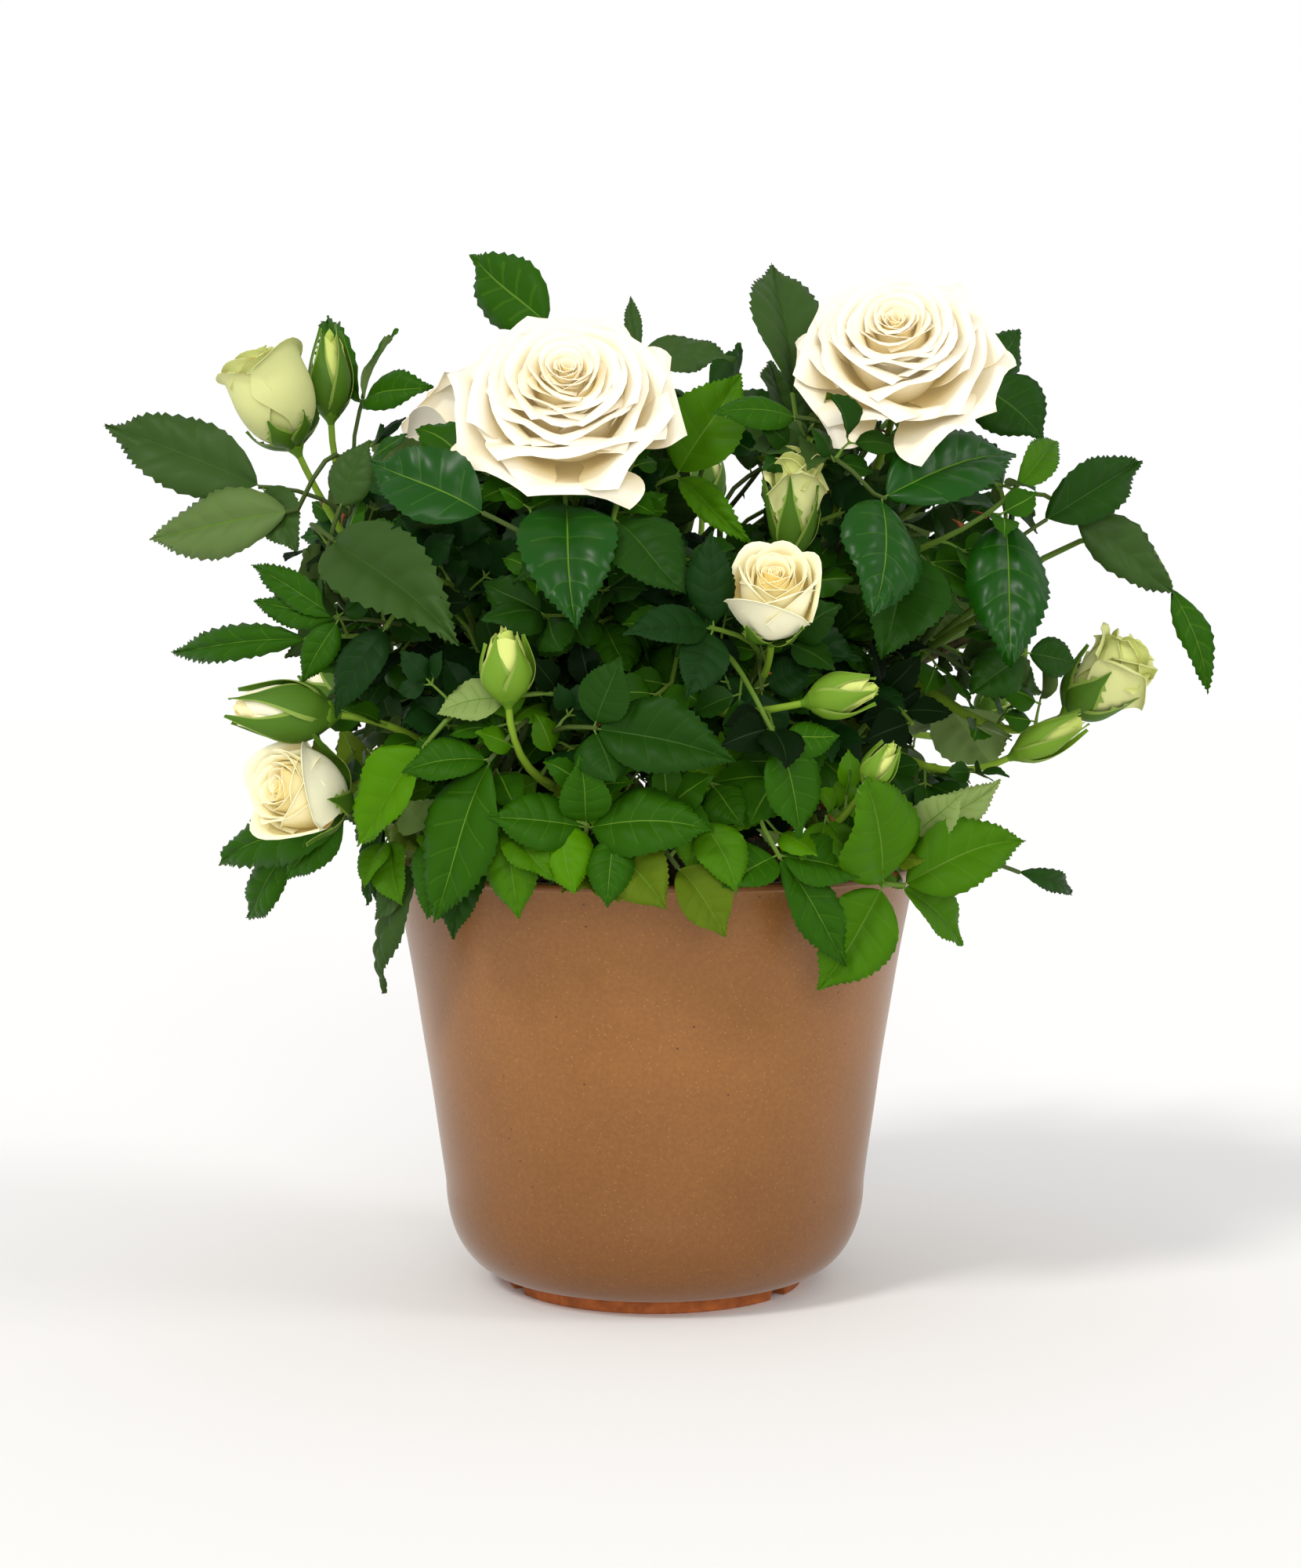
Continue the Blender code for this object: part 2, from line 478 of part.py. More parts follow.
class Plant:
    """The plan of the whole bush: canes, and each mass with its stem, twigs, leaves and flowers."""

    def __init__(self):
        self.random = random.Random(SEED)
        self.solids = []
        self.canes = {}
        self.stems = {}
        self.twigs = {name: [] for name in MASSES}
        self.leaves = {name: [] for name in MASSES}
        self.flowers = {name: [] for name in MASSES}
        for name, (hub, foot) in MASSES.items():
            self.grow_cane(name, place(*hub), foot)
        for mass, kind, foot, face, radius, height in FLOWERS:
            self.grow_flower(mass, kind, place(*foot), facing(*face), radius * MM, height * MM)
        for mass, node, leaflets in FANS:
            self.grow_fan(mass, node, leaflets)
        for target, outward in spray_places():
            self.grow_spray(target, outward)

    def add_solid(self, mass, soft, mesh):
        """Remembers a piece, so that later pieces keep clear of it."""
        self.solids.append((mass, soft, (box_of(mesh), BVHTree.FromBMesh(mesh))))
        mesh.free()

    def others(self, mass):
        """The pieces of every other mass, and the canes."""
        return [solid for owner, soft, solid in self.solids if owner != mass]

    def own(self, mass, soft_only):
        """The mass's own pieces, or only its leaves and flowers."""
        return [
            solid
            for owner, soft, solid in self.solids
            if owner == mass and (soft or not soft_only)
        ]

    def grow_cane(self, name, hub, foot):
        """A cane from the soil towards the mass, and the mass's own stem from its tip."""
        ground = Vector((foot[0] * MM, foot[1] * MM, SOIL_TOP + SOIL_DOME + CLEARANCE))
        rise = Vector((ground.x, ground.y, ground.z + CANE_RISE * (hub.z - ground.z)))
        collar = ground + Vector((0, 0, CANE_COLLAR))
        path = [ground] + bend(collar, rise, hub, CANE_STEPS)
        split = round(len(path) * CANE_SHARE)
        self.canes[name] = path[: split + 1]
        onward = (path[split] - path[split - 1]).normalized()
        start = path[split] + onward * CLEARANCE
        self.stems[name] = [start, start + onward * STEM_COLLAR] + path[split + 1 :]
        self.add_solid("canes", False, cane_mesh(self.canes[name]))
        self.add_solid(name, False, stem_mesh(self.stems[name]))

    def twig_to(self, mass, node, arrival, radius, straight):
        """Adds a twig from the mass's stem to a node, straight at its end; False where it can't."""
        stem = self.stems[mass]
        joint = node - arrival * straight
        nearest = min(range(len(stem)), key=lambda i: (stem[i] - joint).length)
        for step in TWIG_STARTS:
            start = stem[max(1, nearest + step)]
            span = (joint - start).length
            for lift in TWIG_LIFTS:
                control = joint - arrival * span * TWIG_BEND + Vector((0, 0, lift))
                path = bend(start, control, joint, TWIG_STEPS) + [node]
                if self.add_twig(mass, path, radius):
                    return True
        return False

    def add_twig(self, mass, path, radius):
        """Adds a twig along a path if it touches nothing."""
        shares = [step / TWIG_PROBES for step in range(TWIG_PROBES + 1)]
        for before, after in zip(path, path[1:]):
            if any(in_pot(before.lerp(after, share), TWIG_POT_MARGIN) for share in shares):
                return False
        wide = radius + TEST_CLEARANCE
        hull = tube_mesh(path, wide, wide, TWIG_SIDES)
        if touches(hull, self.others(mass)) or touches(hull, self.own(mass, True)):
            hull.free()
            return False
        self.add_solid(mass, False, hull)
        self.twigs[mass].append((path, radius))
        return True

    def grow_flower(self, mass, kind, foot, axis, radius, height):
        """A flower or bud with its outer petals, at the end of its stalk."""
        self.twig_to(mass, foot + axis * FLOWER_SUNK, axis, STALK_RADIUS, 2 * FLOWER_SUNK)
        self.flowers[mass].append((kind, foot, axis, radius, height))
        self.add_solid(mass, True, flower_mesh(kind, foot, axis, radius, height, TEST_CLEARANCE))
        for base, tip, normal, width in petal_plan(kind, foot, axis, radius, height):
            self.add_solid(mass, True, leaf_mesh(base, tip, normal, width, TEST_CLEARANCE))

    def add_leaf(self, mass, base, tip, width, roll):
        """Adds one leaflet if it has room."""
        along = (tip - base).normalized()
        normal = Matrix.Rotation(roll, 3, along) @ leaf_normal(base, tip)
        side = normal.cross(along)
        middle = base.lerp(tip, LEAF_WIDEST_AT)
        edges = [base, tip, middle, middle + side * width / 2, middle - side * width / 2]
        edges.append(base.lerp(tip, LEAF_PROBE_AT))
        if any(in_pot(point, LEAF_POT_MARGIN) for point in edges):
            return False
        hull = leaf_mesh(base, tip, normal, width, TEST_CLEARANCE)
        blade = leaf_mesh(base + along * BLADE_FROM, tip, normal, width, TEST_CLEARANCE)
        clear = not (touches(hull, self.others(mass)) or touches(blade, self.own(mass, False)))
        blade.free()
        if not clear:
            hull.free()
            return False
        self.add_solid(mass, True, hull)
        self.leaves[mass].append((base, tip, normal, width))
        return True

    def grow_fan(self, mass, node, leaflets):
        """Leaflets from one node, each moved a little in or out where a neighbour is in its way."""
        joint = on_crown(*node)
        tips = [on_crown(*leaflet[:3]) for leaflet in leaflets]
        arrival = (sum(tips, Vector()) / len(tips) - joint).normalized()
        end = joint + arrival * TWIG_OVERRUN
        if not self.twig_to(mass, end, arrival, TWIG_RADIUS, 3 * TWIG_OVERRUN):
            return
        for across, up, behind, width in leaflets:
            for shift in FAN_SHIFTS:
                tip = on_crown(across, up, behind + shift)
                roll = self.random.uniform(-FAN_ROLL, FAN_ROLL)
                if self.add_leaf(mass, joint, tip, width * MM, roll):
                    break

    def grow_spray(self, target, outward):
        """A spray of leaflets at a place on the crown, from one of the two nearest masses."""
        by_distance = sorted(MASSES, key=lambda name: (place(*MASSES[name][0]) - target).length)
        for attempt in range(SPRAY_TRIES):
            if self.spray_grew(by_distance[attempt % 2], target, outward):
                return

    def spray_grew(self, mass, target, outward):
        """Tries one spray of leaflets, and keeps it if enough of them have room."""
        swing = self.random.uniform(-SPRAY_SWING, SPRAY_SWING)
        droop = self.random.uniform(*SPRAY_DROOP)
        length = self.random.uniform(*SPRAY_LEAFLET)
        rolls = [self.random.uniform(-SPRAY_ROLL, SPRAY_ROLL) for leaflet in SPRAY_LEAFLETS]
        around = outward.cross(Vector((0, 0, 1))).normalized()
        arrival = (outward + around * swing - Vector((0, 0, droop))).normalized()
        node = target - arrival * length * SPRAY_NODE_AT
        end = node + arrival * TWIG_OVERRUN
        rachis = length * SPRAY_PAIR_GAP + TWIG_OVERRUN * 2
        before = len(self.solids)
        if in_sky(node) or not self.twig_to(mass, end, arrival, TWIG_RADIUS, rachis):
            return False
        side = leaf_normal(node, node + arrival).cross(arrival)
        grown = 0
        for (pairs_back, forward, sideways, size), roll in zip(SPRAY_LEAFLETS, rolls):
            base = node - arrival * length * SPRAY_PAIR_GAP * pairs_back
            along = (arrival * forward + side * sideways).normalized()
            tip = base + along * length * size
            if not (in_sky(tip) or in_sky(base.lerp(tip, 0.5))):
                grown += self.add_leaf(mass, base, tip, length * size * SPRAY_LEAF_SHAPE, roll)
        if grown >= SPRAY_LEAST:
            return True
        del self.solids[before:]
        del self.twigs[mass][-1]
        del self.leaves[mass][len(self.leaves[mass]) - grown :]
        return False


def material(name, colour, roughness):
    """A plain material with the part's colour."""
    made = bpy.data.materials.new(name)
    made.use_nodes = True
    shader = made.node_tree.nodes["Principled BSDF"]
    shader.inputs["Base Color"].default_value = (*colour, 1)
    shader.inputs["Roughness"].default_value = roughness
    shader.inputs["Metallic"].default_value = 0
    return made


def new_object(name, mesh, collection):
    """Puts a finished bmesh in the scene as a named object."""
    data = bpy.data.meshes.new(name)
    mesh.to_mesh(data)
    mesh.free()
    made = bpy.data.objects.new(name, data)
    collection.objects.link(made)
    return made


def turned(name, profile, sides, collection):
    """A closed profile of (radius, height) points turned round the Z axis."""
    data = bpy.data.meshes.new(name)
    count = len(profile)
    edges = [(index, (index + 1) % count) for index in range(count)]
    data.from_pydata([(radius, 0, height) for radius, height in profile], edges, [])
    made = bpy.data.objects.new(name, data)
    collection.objects.link(made)
    screw = made.modifiers.new("turn", "SCREW")
    screw.steps = sides
    screw.render_steps = sides
    screw.use_merge_vertices = True
    screw.merge_threshold = 0.01 * MM
    return made


def outer_profile(first, last, steps):
    """Points down the pot's outside between two heights."""
    heights = [first + (last - first) * step / steps for step in range(steps + 1)]
    return [(wall_radius(height), height) for height in heights]


def build_pot(collection, cutters, finish):
    """The pot: a turned wall with a rounded bowl, a foot ring with notches and a drain hole."""
    lip_top = POT_HEIGHT
    lip_side = POT_HEIGHT - LIP_ROUNDING
    inner = RIM_RADIUS - WALL_THICKNESS
    profile = [(inner + LIP_ROUNDING, lip_top), (RIM_RADIUS - LIP_ROUNDING, lip_top)]
    profile += outer_profile(lip_side, BOWL_TOP, WALL_STEPS)
    for step in range(1, BOWL_STEPS + 1):
        angle = math.pi / 2 * step / BOWL_STEPS
        drop = math.sin(angle) * (BOWL_TOP - FOOT_HEIGHT)
        profile.append((wall_radius(BOWL_TOP - drop), BOWL_TOP - drop))
    profile.append((FOOT_RADIUS, FOOT_NECK))
    profile.append((FOOT_RADIUS, 0))
    profile.append((FOOT_RADIUS - FOOT_WIDTH, 0))
    profile.append((FOOT_RADIUS - FOOT_WIDTH, FOOT_RECESS))
    profile.append((DRAIN_RADIUS, FOOT_RECESS))
    profile.append((DRAIN_RADIUS, FLOOR_TOP))
    profile.append((BOWL_FOOT_RADIUS - WALL_THICKNESS, FLOOR_TOP))
    profile.append((BOWL_RADIUS - WALL_THICKNESS, BOWL_TOP))
    profile.append((inner, lip_side))
    pot = turned("pot", profile, POT_SIDES, collection)
    for number, angle in enumerate(NOTCH_ANGLES):
        cutter_mesh = bmesh.new()
        bmesh.ops.create_cube(cutter_mesh, size=1)
        cutter = new_object(f"notch_{number + 1}", cutter_mesh, cutters)
        cutter.scale = (NOTCH_WIDTH, FOOT_WIDTH * 2, NOTCH_HEIGHT * 2)
        middle = facing(angle, 0) * (FOOT_RADIUS - FOOT_WIDTH / 2)
        cutter.location = middle
        cutter.rotation_euler = (0, 0, math.radians(angle))
        cutter.hide_render = True
        cutter.display_type = "WIRE"
        cut = pot.modifiers.new(cutter.name, "BOOLEAN")
        cut.operation = "DIFFERENCE"
        cut.object = cutter
    pot.data.materials.append(finish)


def build_soil(collection, finish):
    """The soil: a plug that fills the pot, just clear of it, with a slightly domed top."""
    gap = WALL_THICKNESS + CLEARANCE
    profile = [(0, SOIL_TOP + SOIL_DOME), (SOIL_FLAT_RADIUS, SOIL_TOP + SOIL_DOME)]
    inner = RIM_RADIUS - WALL_THICKNESS
    lower = BOWL_RADIUS - WALL_THICKNESS
    share = (SOIL_TOP - BOWL_TOP) / (POT_HEIGHT - LIP_ROUNDING - BOWL_TOP)
    profile.append((lower + (inner - lower) * share - CLEARANCE, SOIL_TOP))
    profile.append((BOWL_RADIUS - gap, BOWL_TOP))
    profile.append((BOWL_FOOT_RADIUS - gap, FLOOR_TOP + CLEARANCE))
    profile.append((0, FLOOR_TOP + CLEARANCE))
    soil = turned("soil", profile, SOIL_SIDES, collection)
    soil.data.materials.append(finish)


def keep_outer_body(data):
    """Keeps only the largest closed shell, which fills sealed hollows and drops loose scraps."""
    mesh = bmesh.new()
    mesh.from_mesh(data)
    left = set(mesh.faces)
    bodies = []
    while left:
        body = {left.pop()}
        edge_of_body = list(body)
        while edge_of_body:
            face = edge_of_body.pop()
            for edge in face.edges:
                for other in edge.link_faces:
                    if other in left:
                        left.remove(other)
                        body.add(other)
                        edge_of_body.append(other)
        bodies.append(body)
    largest = max(bodies, key=len)
    loose = [face for face in mesh.faces if face not in largest]
    bmesh.ops.delete(mesh, geom=loose, context="FACES")
    mesh.to_mesh(data)
    mesh.free()


def build_mass(plant, name, collection, finish):
    """One mass: its stem, twigs, leaves and flowers fused by a single Boolean union."""
    pieces = bpy.data.collections.new(name + "_pieces")
    bpy.context.scene.collection.children.link(pieces)
    stem = new_object(name, stem_mesh(plant.stems[name]), collection)
    meshes = []
    for path, radius in plant.twigs[name]:
        meshes.append(tube_mesh(path, radius, radius * TWIG_TAPER, TWIG_SIDES))
    meshes += [leaf_mesh(*leaf) for leaf in plant.leaves[name]]
    for flower in plant.flowers[name]:
        meshes.append(flower_mesh(*flower))
        meshes += [leaf_mesh(*petal) for petal in petal_plan(*flower)]
    for number, mesh in enumerate(meshes):
        new_object(f"{name}_piece_{number}", mesh, pieces)
    union = stem.modifiers.new("fuse", "BOOLEAN")
    union.operation = "UNION"
    union.operand_type = "COLLECTION"
    union.collection = pieces
    union.solver = "MANIFOLD"
    fused = bpy.data.meshes.new_from_object(stem.evaluated_get(bpy.context.evaluated_depsgraph_get()))
    stem.modifiers.clear()
    stem.data = fused
    keep_outer_body(fused)
    fused.materials.clear()
    fused.materials.append(finish)
    for piece in list(pieces.objects):
        bpy.data.objects.remove(piece)
    bpy.data.collections.remove(pieces)


def main():
    """Builds the pot, the soil, the canes and the masses in an empty scene."""
    for old in list(bpy.data.objects):
        bpy.data.objects.remove(old)
    parts = bpy.data.collections.new("rose_bush")
    cutters = bpy.data.collections.new("cutters")
    bpy.context.scene.collection.children.link(parts)
    bpy.context.scene.collection.children.link(cutters)
    stoneware = material("stoneware", (0.36, 0.19, 0.08), 0.45)
    earth = material("soil", (0.03, 0.02, 0.012), 0.9)
    bark = material("cane_bark", (0.16, 0.2, 0.05), 0.6)
    green = material("leaf_green", (0.04, 0.13, 0.02), 0.5)
    build_pot(parts, cutters, stoneware)
    build_soil(parts, earth)
    plant = Plant()
    for name in MASSES:
        cane = new_object(name.replace("_mass", "_cane"), cane_mesh(plant.canes[name]), parts)
        cane.data.materials.append(bark)
        build_mass(plant, name, parts, green)


main()
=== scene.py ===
"""The looks of the potted white rose bush: leaflets, twigs, canes, blooms, pot and soil.

Metres, +Z up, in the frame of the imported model. The bush is laid out by the same rule as its solids,
so that every leaflet and bloom here lies where its solid lies, and is then carried to finer twigs.
"""

import json
import math
import random

import bmesh
import bpy
import numpy as np
from mathutils import Matrix, Vector
from mathutils.bvhtree import BVHTree

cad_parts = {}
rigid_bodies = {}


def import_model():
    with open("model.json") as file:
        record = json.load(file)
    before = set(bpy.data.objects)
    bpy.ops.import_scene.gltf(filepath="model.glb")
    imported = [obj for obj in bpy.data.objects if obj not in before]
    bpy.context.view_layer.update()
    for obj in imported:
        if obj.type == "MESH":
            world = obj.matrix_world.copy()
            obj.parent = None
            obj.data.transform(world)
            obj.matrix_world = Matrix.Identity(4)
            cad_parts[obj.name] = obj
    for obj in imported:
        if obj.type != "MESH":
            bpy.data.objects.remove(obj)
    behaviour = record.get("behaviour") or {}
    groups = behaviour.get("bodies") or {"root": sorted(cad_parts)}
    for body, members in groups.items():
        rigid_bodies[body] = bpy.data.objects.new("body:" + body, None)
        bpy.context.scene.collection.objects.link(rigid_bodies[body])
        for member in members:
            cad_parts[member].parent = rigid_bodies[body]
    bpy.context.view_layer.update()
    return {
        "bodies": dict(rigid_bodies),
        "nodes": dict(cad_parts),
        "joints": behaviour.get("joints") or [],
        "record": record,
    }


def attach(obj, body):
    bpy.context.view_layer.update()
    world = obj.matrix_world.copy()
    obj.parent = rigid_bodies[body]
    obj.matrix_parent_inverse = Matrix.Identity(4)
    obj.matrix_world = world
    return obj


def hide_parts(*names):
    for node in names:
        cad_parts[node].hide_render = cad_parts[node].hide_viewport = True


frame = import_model()

MM = 0.001
CLEARANCE = 0.3 * MM
TEST_CLEARANCE = 0.4 * MM
SEED = 30

# The viewer's eye, which fixes the sight lines
EYE_DISTANCE = 750 * MM
EYE_HEIGHT = 184 * MM

# The pot
RIM_RADIUS = 76.2 * MM
POT_HEIGHT = 122.7 * MM
BOWL_RADIUS = 61.3 * MM
BOWL_TOP = 30 * MM
BOWL_FOOT_RADIUS = 45 * MM
WALL_BOW = 0.75 * MM
WALL_THICKNESS = 4.5 * MM
LIP_ROUNDING = 1.0 * MM
FOOT_RADIUS = 43.2 * MM
FOOT_WIDTH = 5 * MM
FOOT_HEIGHT = 4.2 * MM
FOOT_NECK = 3.36 * MM
FOOT_RECESS = 3.4 * MM
FLOOR_TOP = 10.5 * MM
DRAIN_RADIUS = 7 * MM
NOTCH_ANGLES = (-65, 55, 175)
NOTCH_WIDTH = 7 * MM
NOTCH_HEIGHT = 3 * MM

# The soil that fills the pot
SOIL_TOP = 110 * MM
SOIL_DOME = 2 * MM

# The crown's outer surface, an egg round a centre on the pot's axis
CROWN_WIDTH = 150 * MM
CROWN_DEPTH = 108 * MM
CROWN_HEIGHT = 135 * MM
CROWN_CENTRE = 175 * MM
CROWN_RIM_SHARE = 0.1

# Canes, and the stems that carry on from them inside the masses
CANE_FOOT_RADIUS = 3.3 * MM
CANE_TIP_RADIUS = 2.2 * MM
CANE_SHARE = 0.5
CANE_RISE = 0.62
CANE_STEPS = 5
CANE_SIDES = 6
CANE_COLLAR = 3 * MM
STEM_COLLAR = 3 * MM
STEM_TIP_RADIUS = 1.4 * MM
STEM_SIDES = 5

# Twigs: where on the stem one may start, counted from the nearest point, and how high it may arch
TWIG_RADIUS = 1.3 * MM
STALK_RADIUS = 1.9 * MM
TWIG_STEPS = 2
TWIG_SIDES = 3
TWIG_BEND = 0.45
TWIG_STARTS = (-1, 0, -2, -3)
TWIG_LIFTS = (0, 18 * MM, 36 * MM)
TWIG_OVERRUN = 1.2 * MM
TWIG_POT_MARGIN = 1.5 * MM
TWIG_PROBES = 4

# Leaflets, with sizes as shares of a leaflet's length or width where they have no unit
LEAF_THICKNESS = 1.2 * MM
LEAF_ROOT = 0.3 * MM
LEAF_WIDEST_AT = 0.42
LEAF_THICKEST_AT = 0.24
LEAF_PROBE_AT = 0.75
LEAF_ARCH = 0.07
LEAF_FOLD = 0.10
LEAF_UPTURN = 0.55
LEAF_POT_MARGIN = 2 * MM
BLADE_FROM = 6.0 * MM

# Flowers: the two powers that shape the profile, the sides and rings of the body, and the outer
# petals' number, foot height, reach, tip height and width
FLOWER_SUNK = 2 * MM
FLOWER_PROFILE = {"open": (1.5, 0.7), "half": (1.15, 0.62), "bud": (0.75, 0.85)}
FLOWER_SIDES = {"open": (10, 6), "half": (8, 5), "bud": (5, 4)}
OUTER_PETALS = {"open": (7, 0.42, 1.0, 0.52, 0.95), "half": (4, 0.35, 1.08, 0.62, 1.0)}
PETAL_FOOT_AT = 0.3
PETAL_TURN = 0.3

# Each mass of leaves: where its stem ends (across, up, depth), and where its cane leaves the soil
# (right, back)
MASSES = {
    "left_rose_mass": ((-24, 212, -40), (-9, -15)),
    "right_rose_mass": ((66, 222, -26), (12, -9)),
    "middle_mass": ((26, 180, -46), (6, -22)),
    "front_mass": ((-16, 150, -46), (-2, -32)),
    "lower_left_mass": ((-66, 144, -32), (-22, -20)),
    "left_mass": ((-88, 200, -6), (-24, -4)),
    "lower_right_mass": ((58, 140, -40), (22, -24)),
    "right_mass": ((100, 192, -4), (25, -2)),
    "back_left_mass": ((-62, 195, 58), (-18, 15)),
    "back_mass": ((2, 222, 30), (2, 12)),
    "back_right_mass": ((66, 188, 62), (19, 16)),
}

# Flowers and buds: mass, kind, foot (across, up, depth), the way it faces (turn to the right of the
# viewer, tilt up, in degrees), radius, height
FLOWERS = (
    ("left_rose_mass", "open", (-24, 243, -56), (0, 42), 30, 31),
    ("right_rose_mass", "open", (70, 258, -46), (4, 44), 27, 29),
    ("middle_mass", "half", (34, 190, -88), (0, 48), 14, 22),
    ("lower_left_mass", "half", (-92, 141, -62), (-48, 12), 16, 23),
    ("left_mass", "half", (-105, 245, -18), (-75, 66), 14, 29),
    ("right_mass", "half", (122, 168, -22), (80, 42), 13, 26),
    ("left_mass", "bud", (-94, 254, -8), (0, 84), 6.5, 23),
    ("middle_mass", "bud", (40, 214, -62), (10, 82), 9, 27),
    ("lower_left_mass", "bud", (-96, 166, -66), (-84, 4), 9, 26),
    ("front_mass", "bud", (-43, 172, -92), (-10, 80), 7, 18),
    ("middle_mass", "bud", (47, 170, -90), (80, 12), 6, 17),
    ("right_mass", "bud", (107, 155, -44), (80, 28), 5, 20),
    ("lower_right_mass", "bud", (63, 147, -84), (60, 55), 4, 12),
    ("back_left_mass", "open", (-48, 238, 70), (-160, 46), 25, 27),
    ("back_right_mass", "half", (62, 212, 86), (150, 38), 16, 23),
    ("back_left_mass", "bud", (-88, 170, 80), (-130, 24), 8, 24),
    ("back_mass", "bud", (14, 226, 84), (176, 66), 8, 24),
    ("back_right_mass", "bud", (96, 166, 74), (126, 36), 6, 18),
)

# Fans of leaflets that face the viewer: mass, node (across, up, behind the crown's surface), then
# for each leaflet its tip (across, up, behind the surface) and its width
FANS = (
    ("left_rose_mass", (-31, 279, 40), ((-53, 299, 34, 20),)),
    ("left_rose_mass", (-5, 270, 44), ((23, 271, 30, 15), (-7, 287, 40, 5))),
    ("left_rose_mass", (-49, 224, 12), ((-83, 240, 2, 21),)),
    ("left_rose_mass", (-26, 228, 24), ((-23, 191, 4, 25),)),
    ("left_rose_mass", (-12, 223, 22), ((9, 201, 12, 20), (-42, 205, 22, 15))),
    ("right_rose_mass", (40, 258, 34), ((34, 296, 26, 24),)),
    ("right_rose_mass", (42, 252, 18), ((17, 255, 12, 11),)),
    ("right_rose_mass", (94, 262, 34), ((113, 246, 22, 22), (106, 278, 34, 14))),
    ("right_rose_mass", (66, 229, 14), ((106, 244, 2, 24), (64, 195, 2, 24))),
    ("right_rose_mass", (105, 232, 14), ((118, 247, 8, 10),)),
    ("middle_mass", (6, 235, 44), ((25, 265, 26, 20), (28, 216, 30, 9))),
    ("middle_mass", (17, 191, 12), ((-9, 191, 2, 13), (16, 219, 6, 12), (9, 171, 2, 13))),
    ("middle_mass", (31, 174, 30), ((16, 170, 28, 10), (32, 154, 26, 13), (46, 180, 28, 12))),
    ("front_mass", (-42, 171, 18), ((-64, 167, 12, 12),)),
    ("front_mass", (-18, 162, 14), ((-10, 183, 8, 14), (23, 153, 2, 19), (-12, 146, 4, 15))),
    ("front_mass", (-20, 133, 12), ((16, 133, 0, 18), (-49, 136, 2, 16), (-22, 153, 6, 13))),
    ("front_mass", (-14, 129, 12), ((3, 109, -4, 17),)),
    ("front_mass", (6, 122, 8), ((21, 101, -6, 15),)),
    ("middle_mass", (36, 159, 10), ((44, 130, 2, 16), (54, 160, 8, 10))),
    ("lower_left_mass", (-48, 153, 12), ((-65, 105, -4, 21), (-74, 149, 4, 13))),
    ("lower_left_mass", (-52, 134, 24), ((-59, 100, 8, 17),)),
    ("lower_left_mass", (-67, 157, 12), ((-89, 128, 0, 19),)),
    ("lower_left_mass", (-90, 136, 22), ((-129, 122, 10, 16), (-109, 117, 14, 12))),
    ("lower_left_mass", (-107, 127, 26), ((-120, 106, 20, 12),)),
    ("lower_left_mass", (-79, 134, 26), ((-85, 110, 18, 10), (-80, 108, 26, 8))),
    ("lower_left_mass", (-69, 122, 22), ((-83, 106, 16, 10), (-83, 84, 12, 11))),
    ("left_mass", (-114, 232, 20), ((-161, 251, 12, 21), (-105, 214, 22, 14))),
    ("left_mass", (-106, 225, 20), ((-147, 217, 10, 19),)),
    ("left_mass", (-94, 217, 16), ((-59, 189, 2, 23),)),
    ("left_mass", (-92, 225, 16), ((-84, 246, 8, 14),)),
    ("left_mass", (-92, 194, 22), ((-119, 210, 14, 9), (-117, 199, 20, 10), (-103, 175, 18, 10))),
    ("left_mass", (-101, 188, 26), ((-142, 184, 16, 10),)),
    ("left_mass", (-78, 192, 18), ((-95, 166, 8, 16),)),
    ("left_mass", (-85, 256, 54), ((-96, 283, 58, 11), (-75, 278, 52, 6), (-66, 262, 40, 14))),
    ("lower_right_mass", (67, 116, 12), ((62, 148, 2, 25), (48, 85, -4, 21))),
    ("lower_right_mass", (72, 116, 12), ((109, 130, 0, 19), (90, 98, 4, 14))),
    ("lower_right_mass", (36, 125, 10), ((20, 116, 0, 14), (56, 92, -4, 14), (60, 118, 6, 15))),
    ("lower_right_mass", (75, 130, 22), ((90, 143, 14, 11), (101, 147, 24, 10))),
    ("lower_right_mass", (106, 120, 30), ((124, 113, 26, 6),)),
    ("right_rose_mass", (102, 223, 14), ((104, 180, 0, 22),)),
    ("right_rose_mass", (73, 214, 26), ((66, 182, 16, 25), (90, 195, 18, 9))),
    ("right_mass", (113, 222, 28), ((142, 240, 20, 16),)),
    ("right_mass", (121, 225, 28), ((152, 201, 18, 15),)),
    ("right_mass", (150, 204, 22), ((162, 172, 18, 10),)),
    ("right_mass", (108, 184, 26), ((123, 181, 22, 11), (92, 172, 22, 14))),
)

# The tone of each fan's leaflets, in the order of FANS. The dark of the front fan at (-18, 162) is
# painted shade for a leaflet in shadow
FAN_TONES = (
    "mid sage glossy glossy dark sage mid dark glossy bright bright deep deep pale dark mid olive olive "
    "mid mid dark young mid mid dark sage sage grey sage sage mid mid deep mid bright bright mid pale "
    "dark glossy dark dark sage mid dark"
).split()
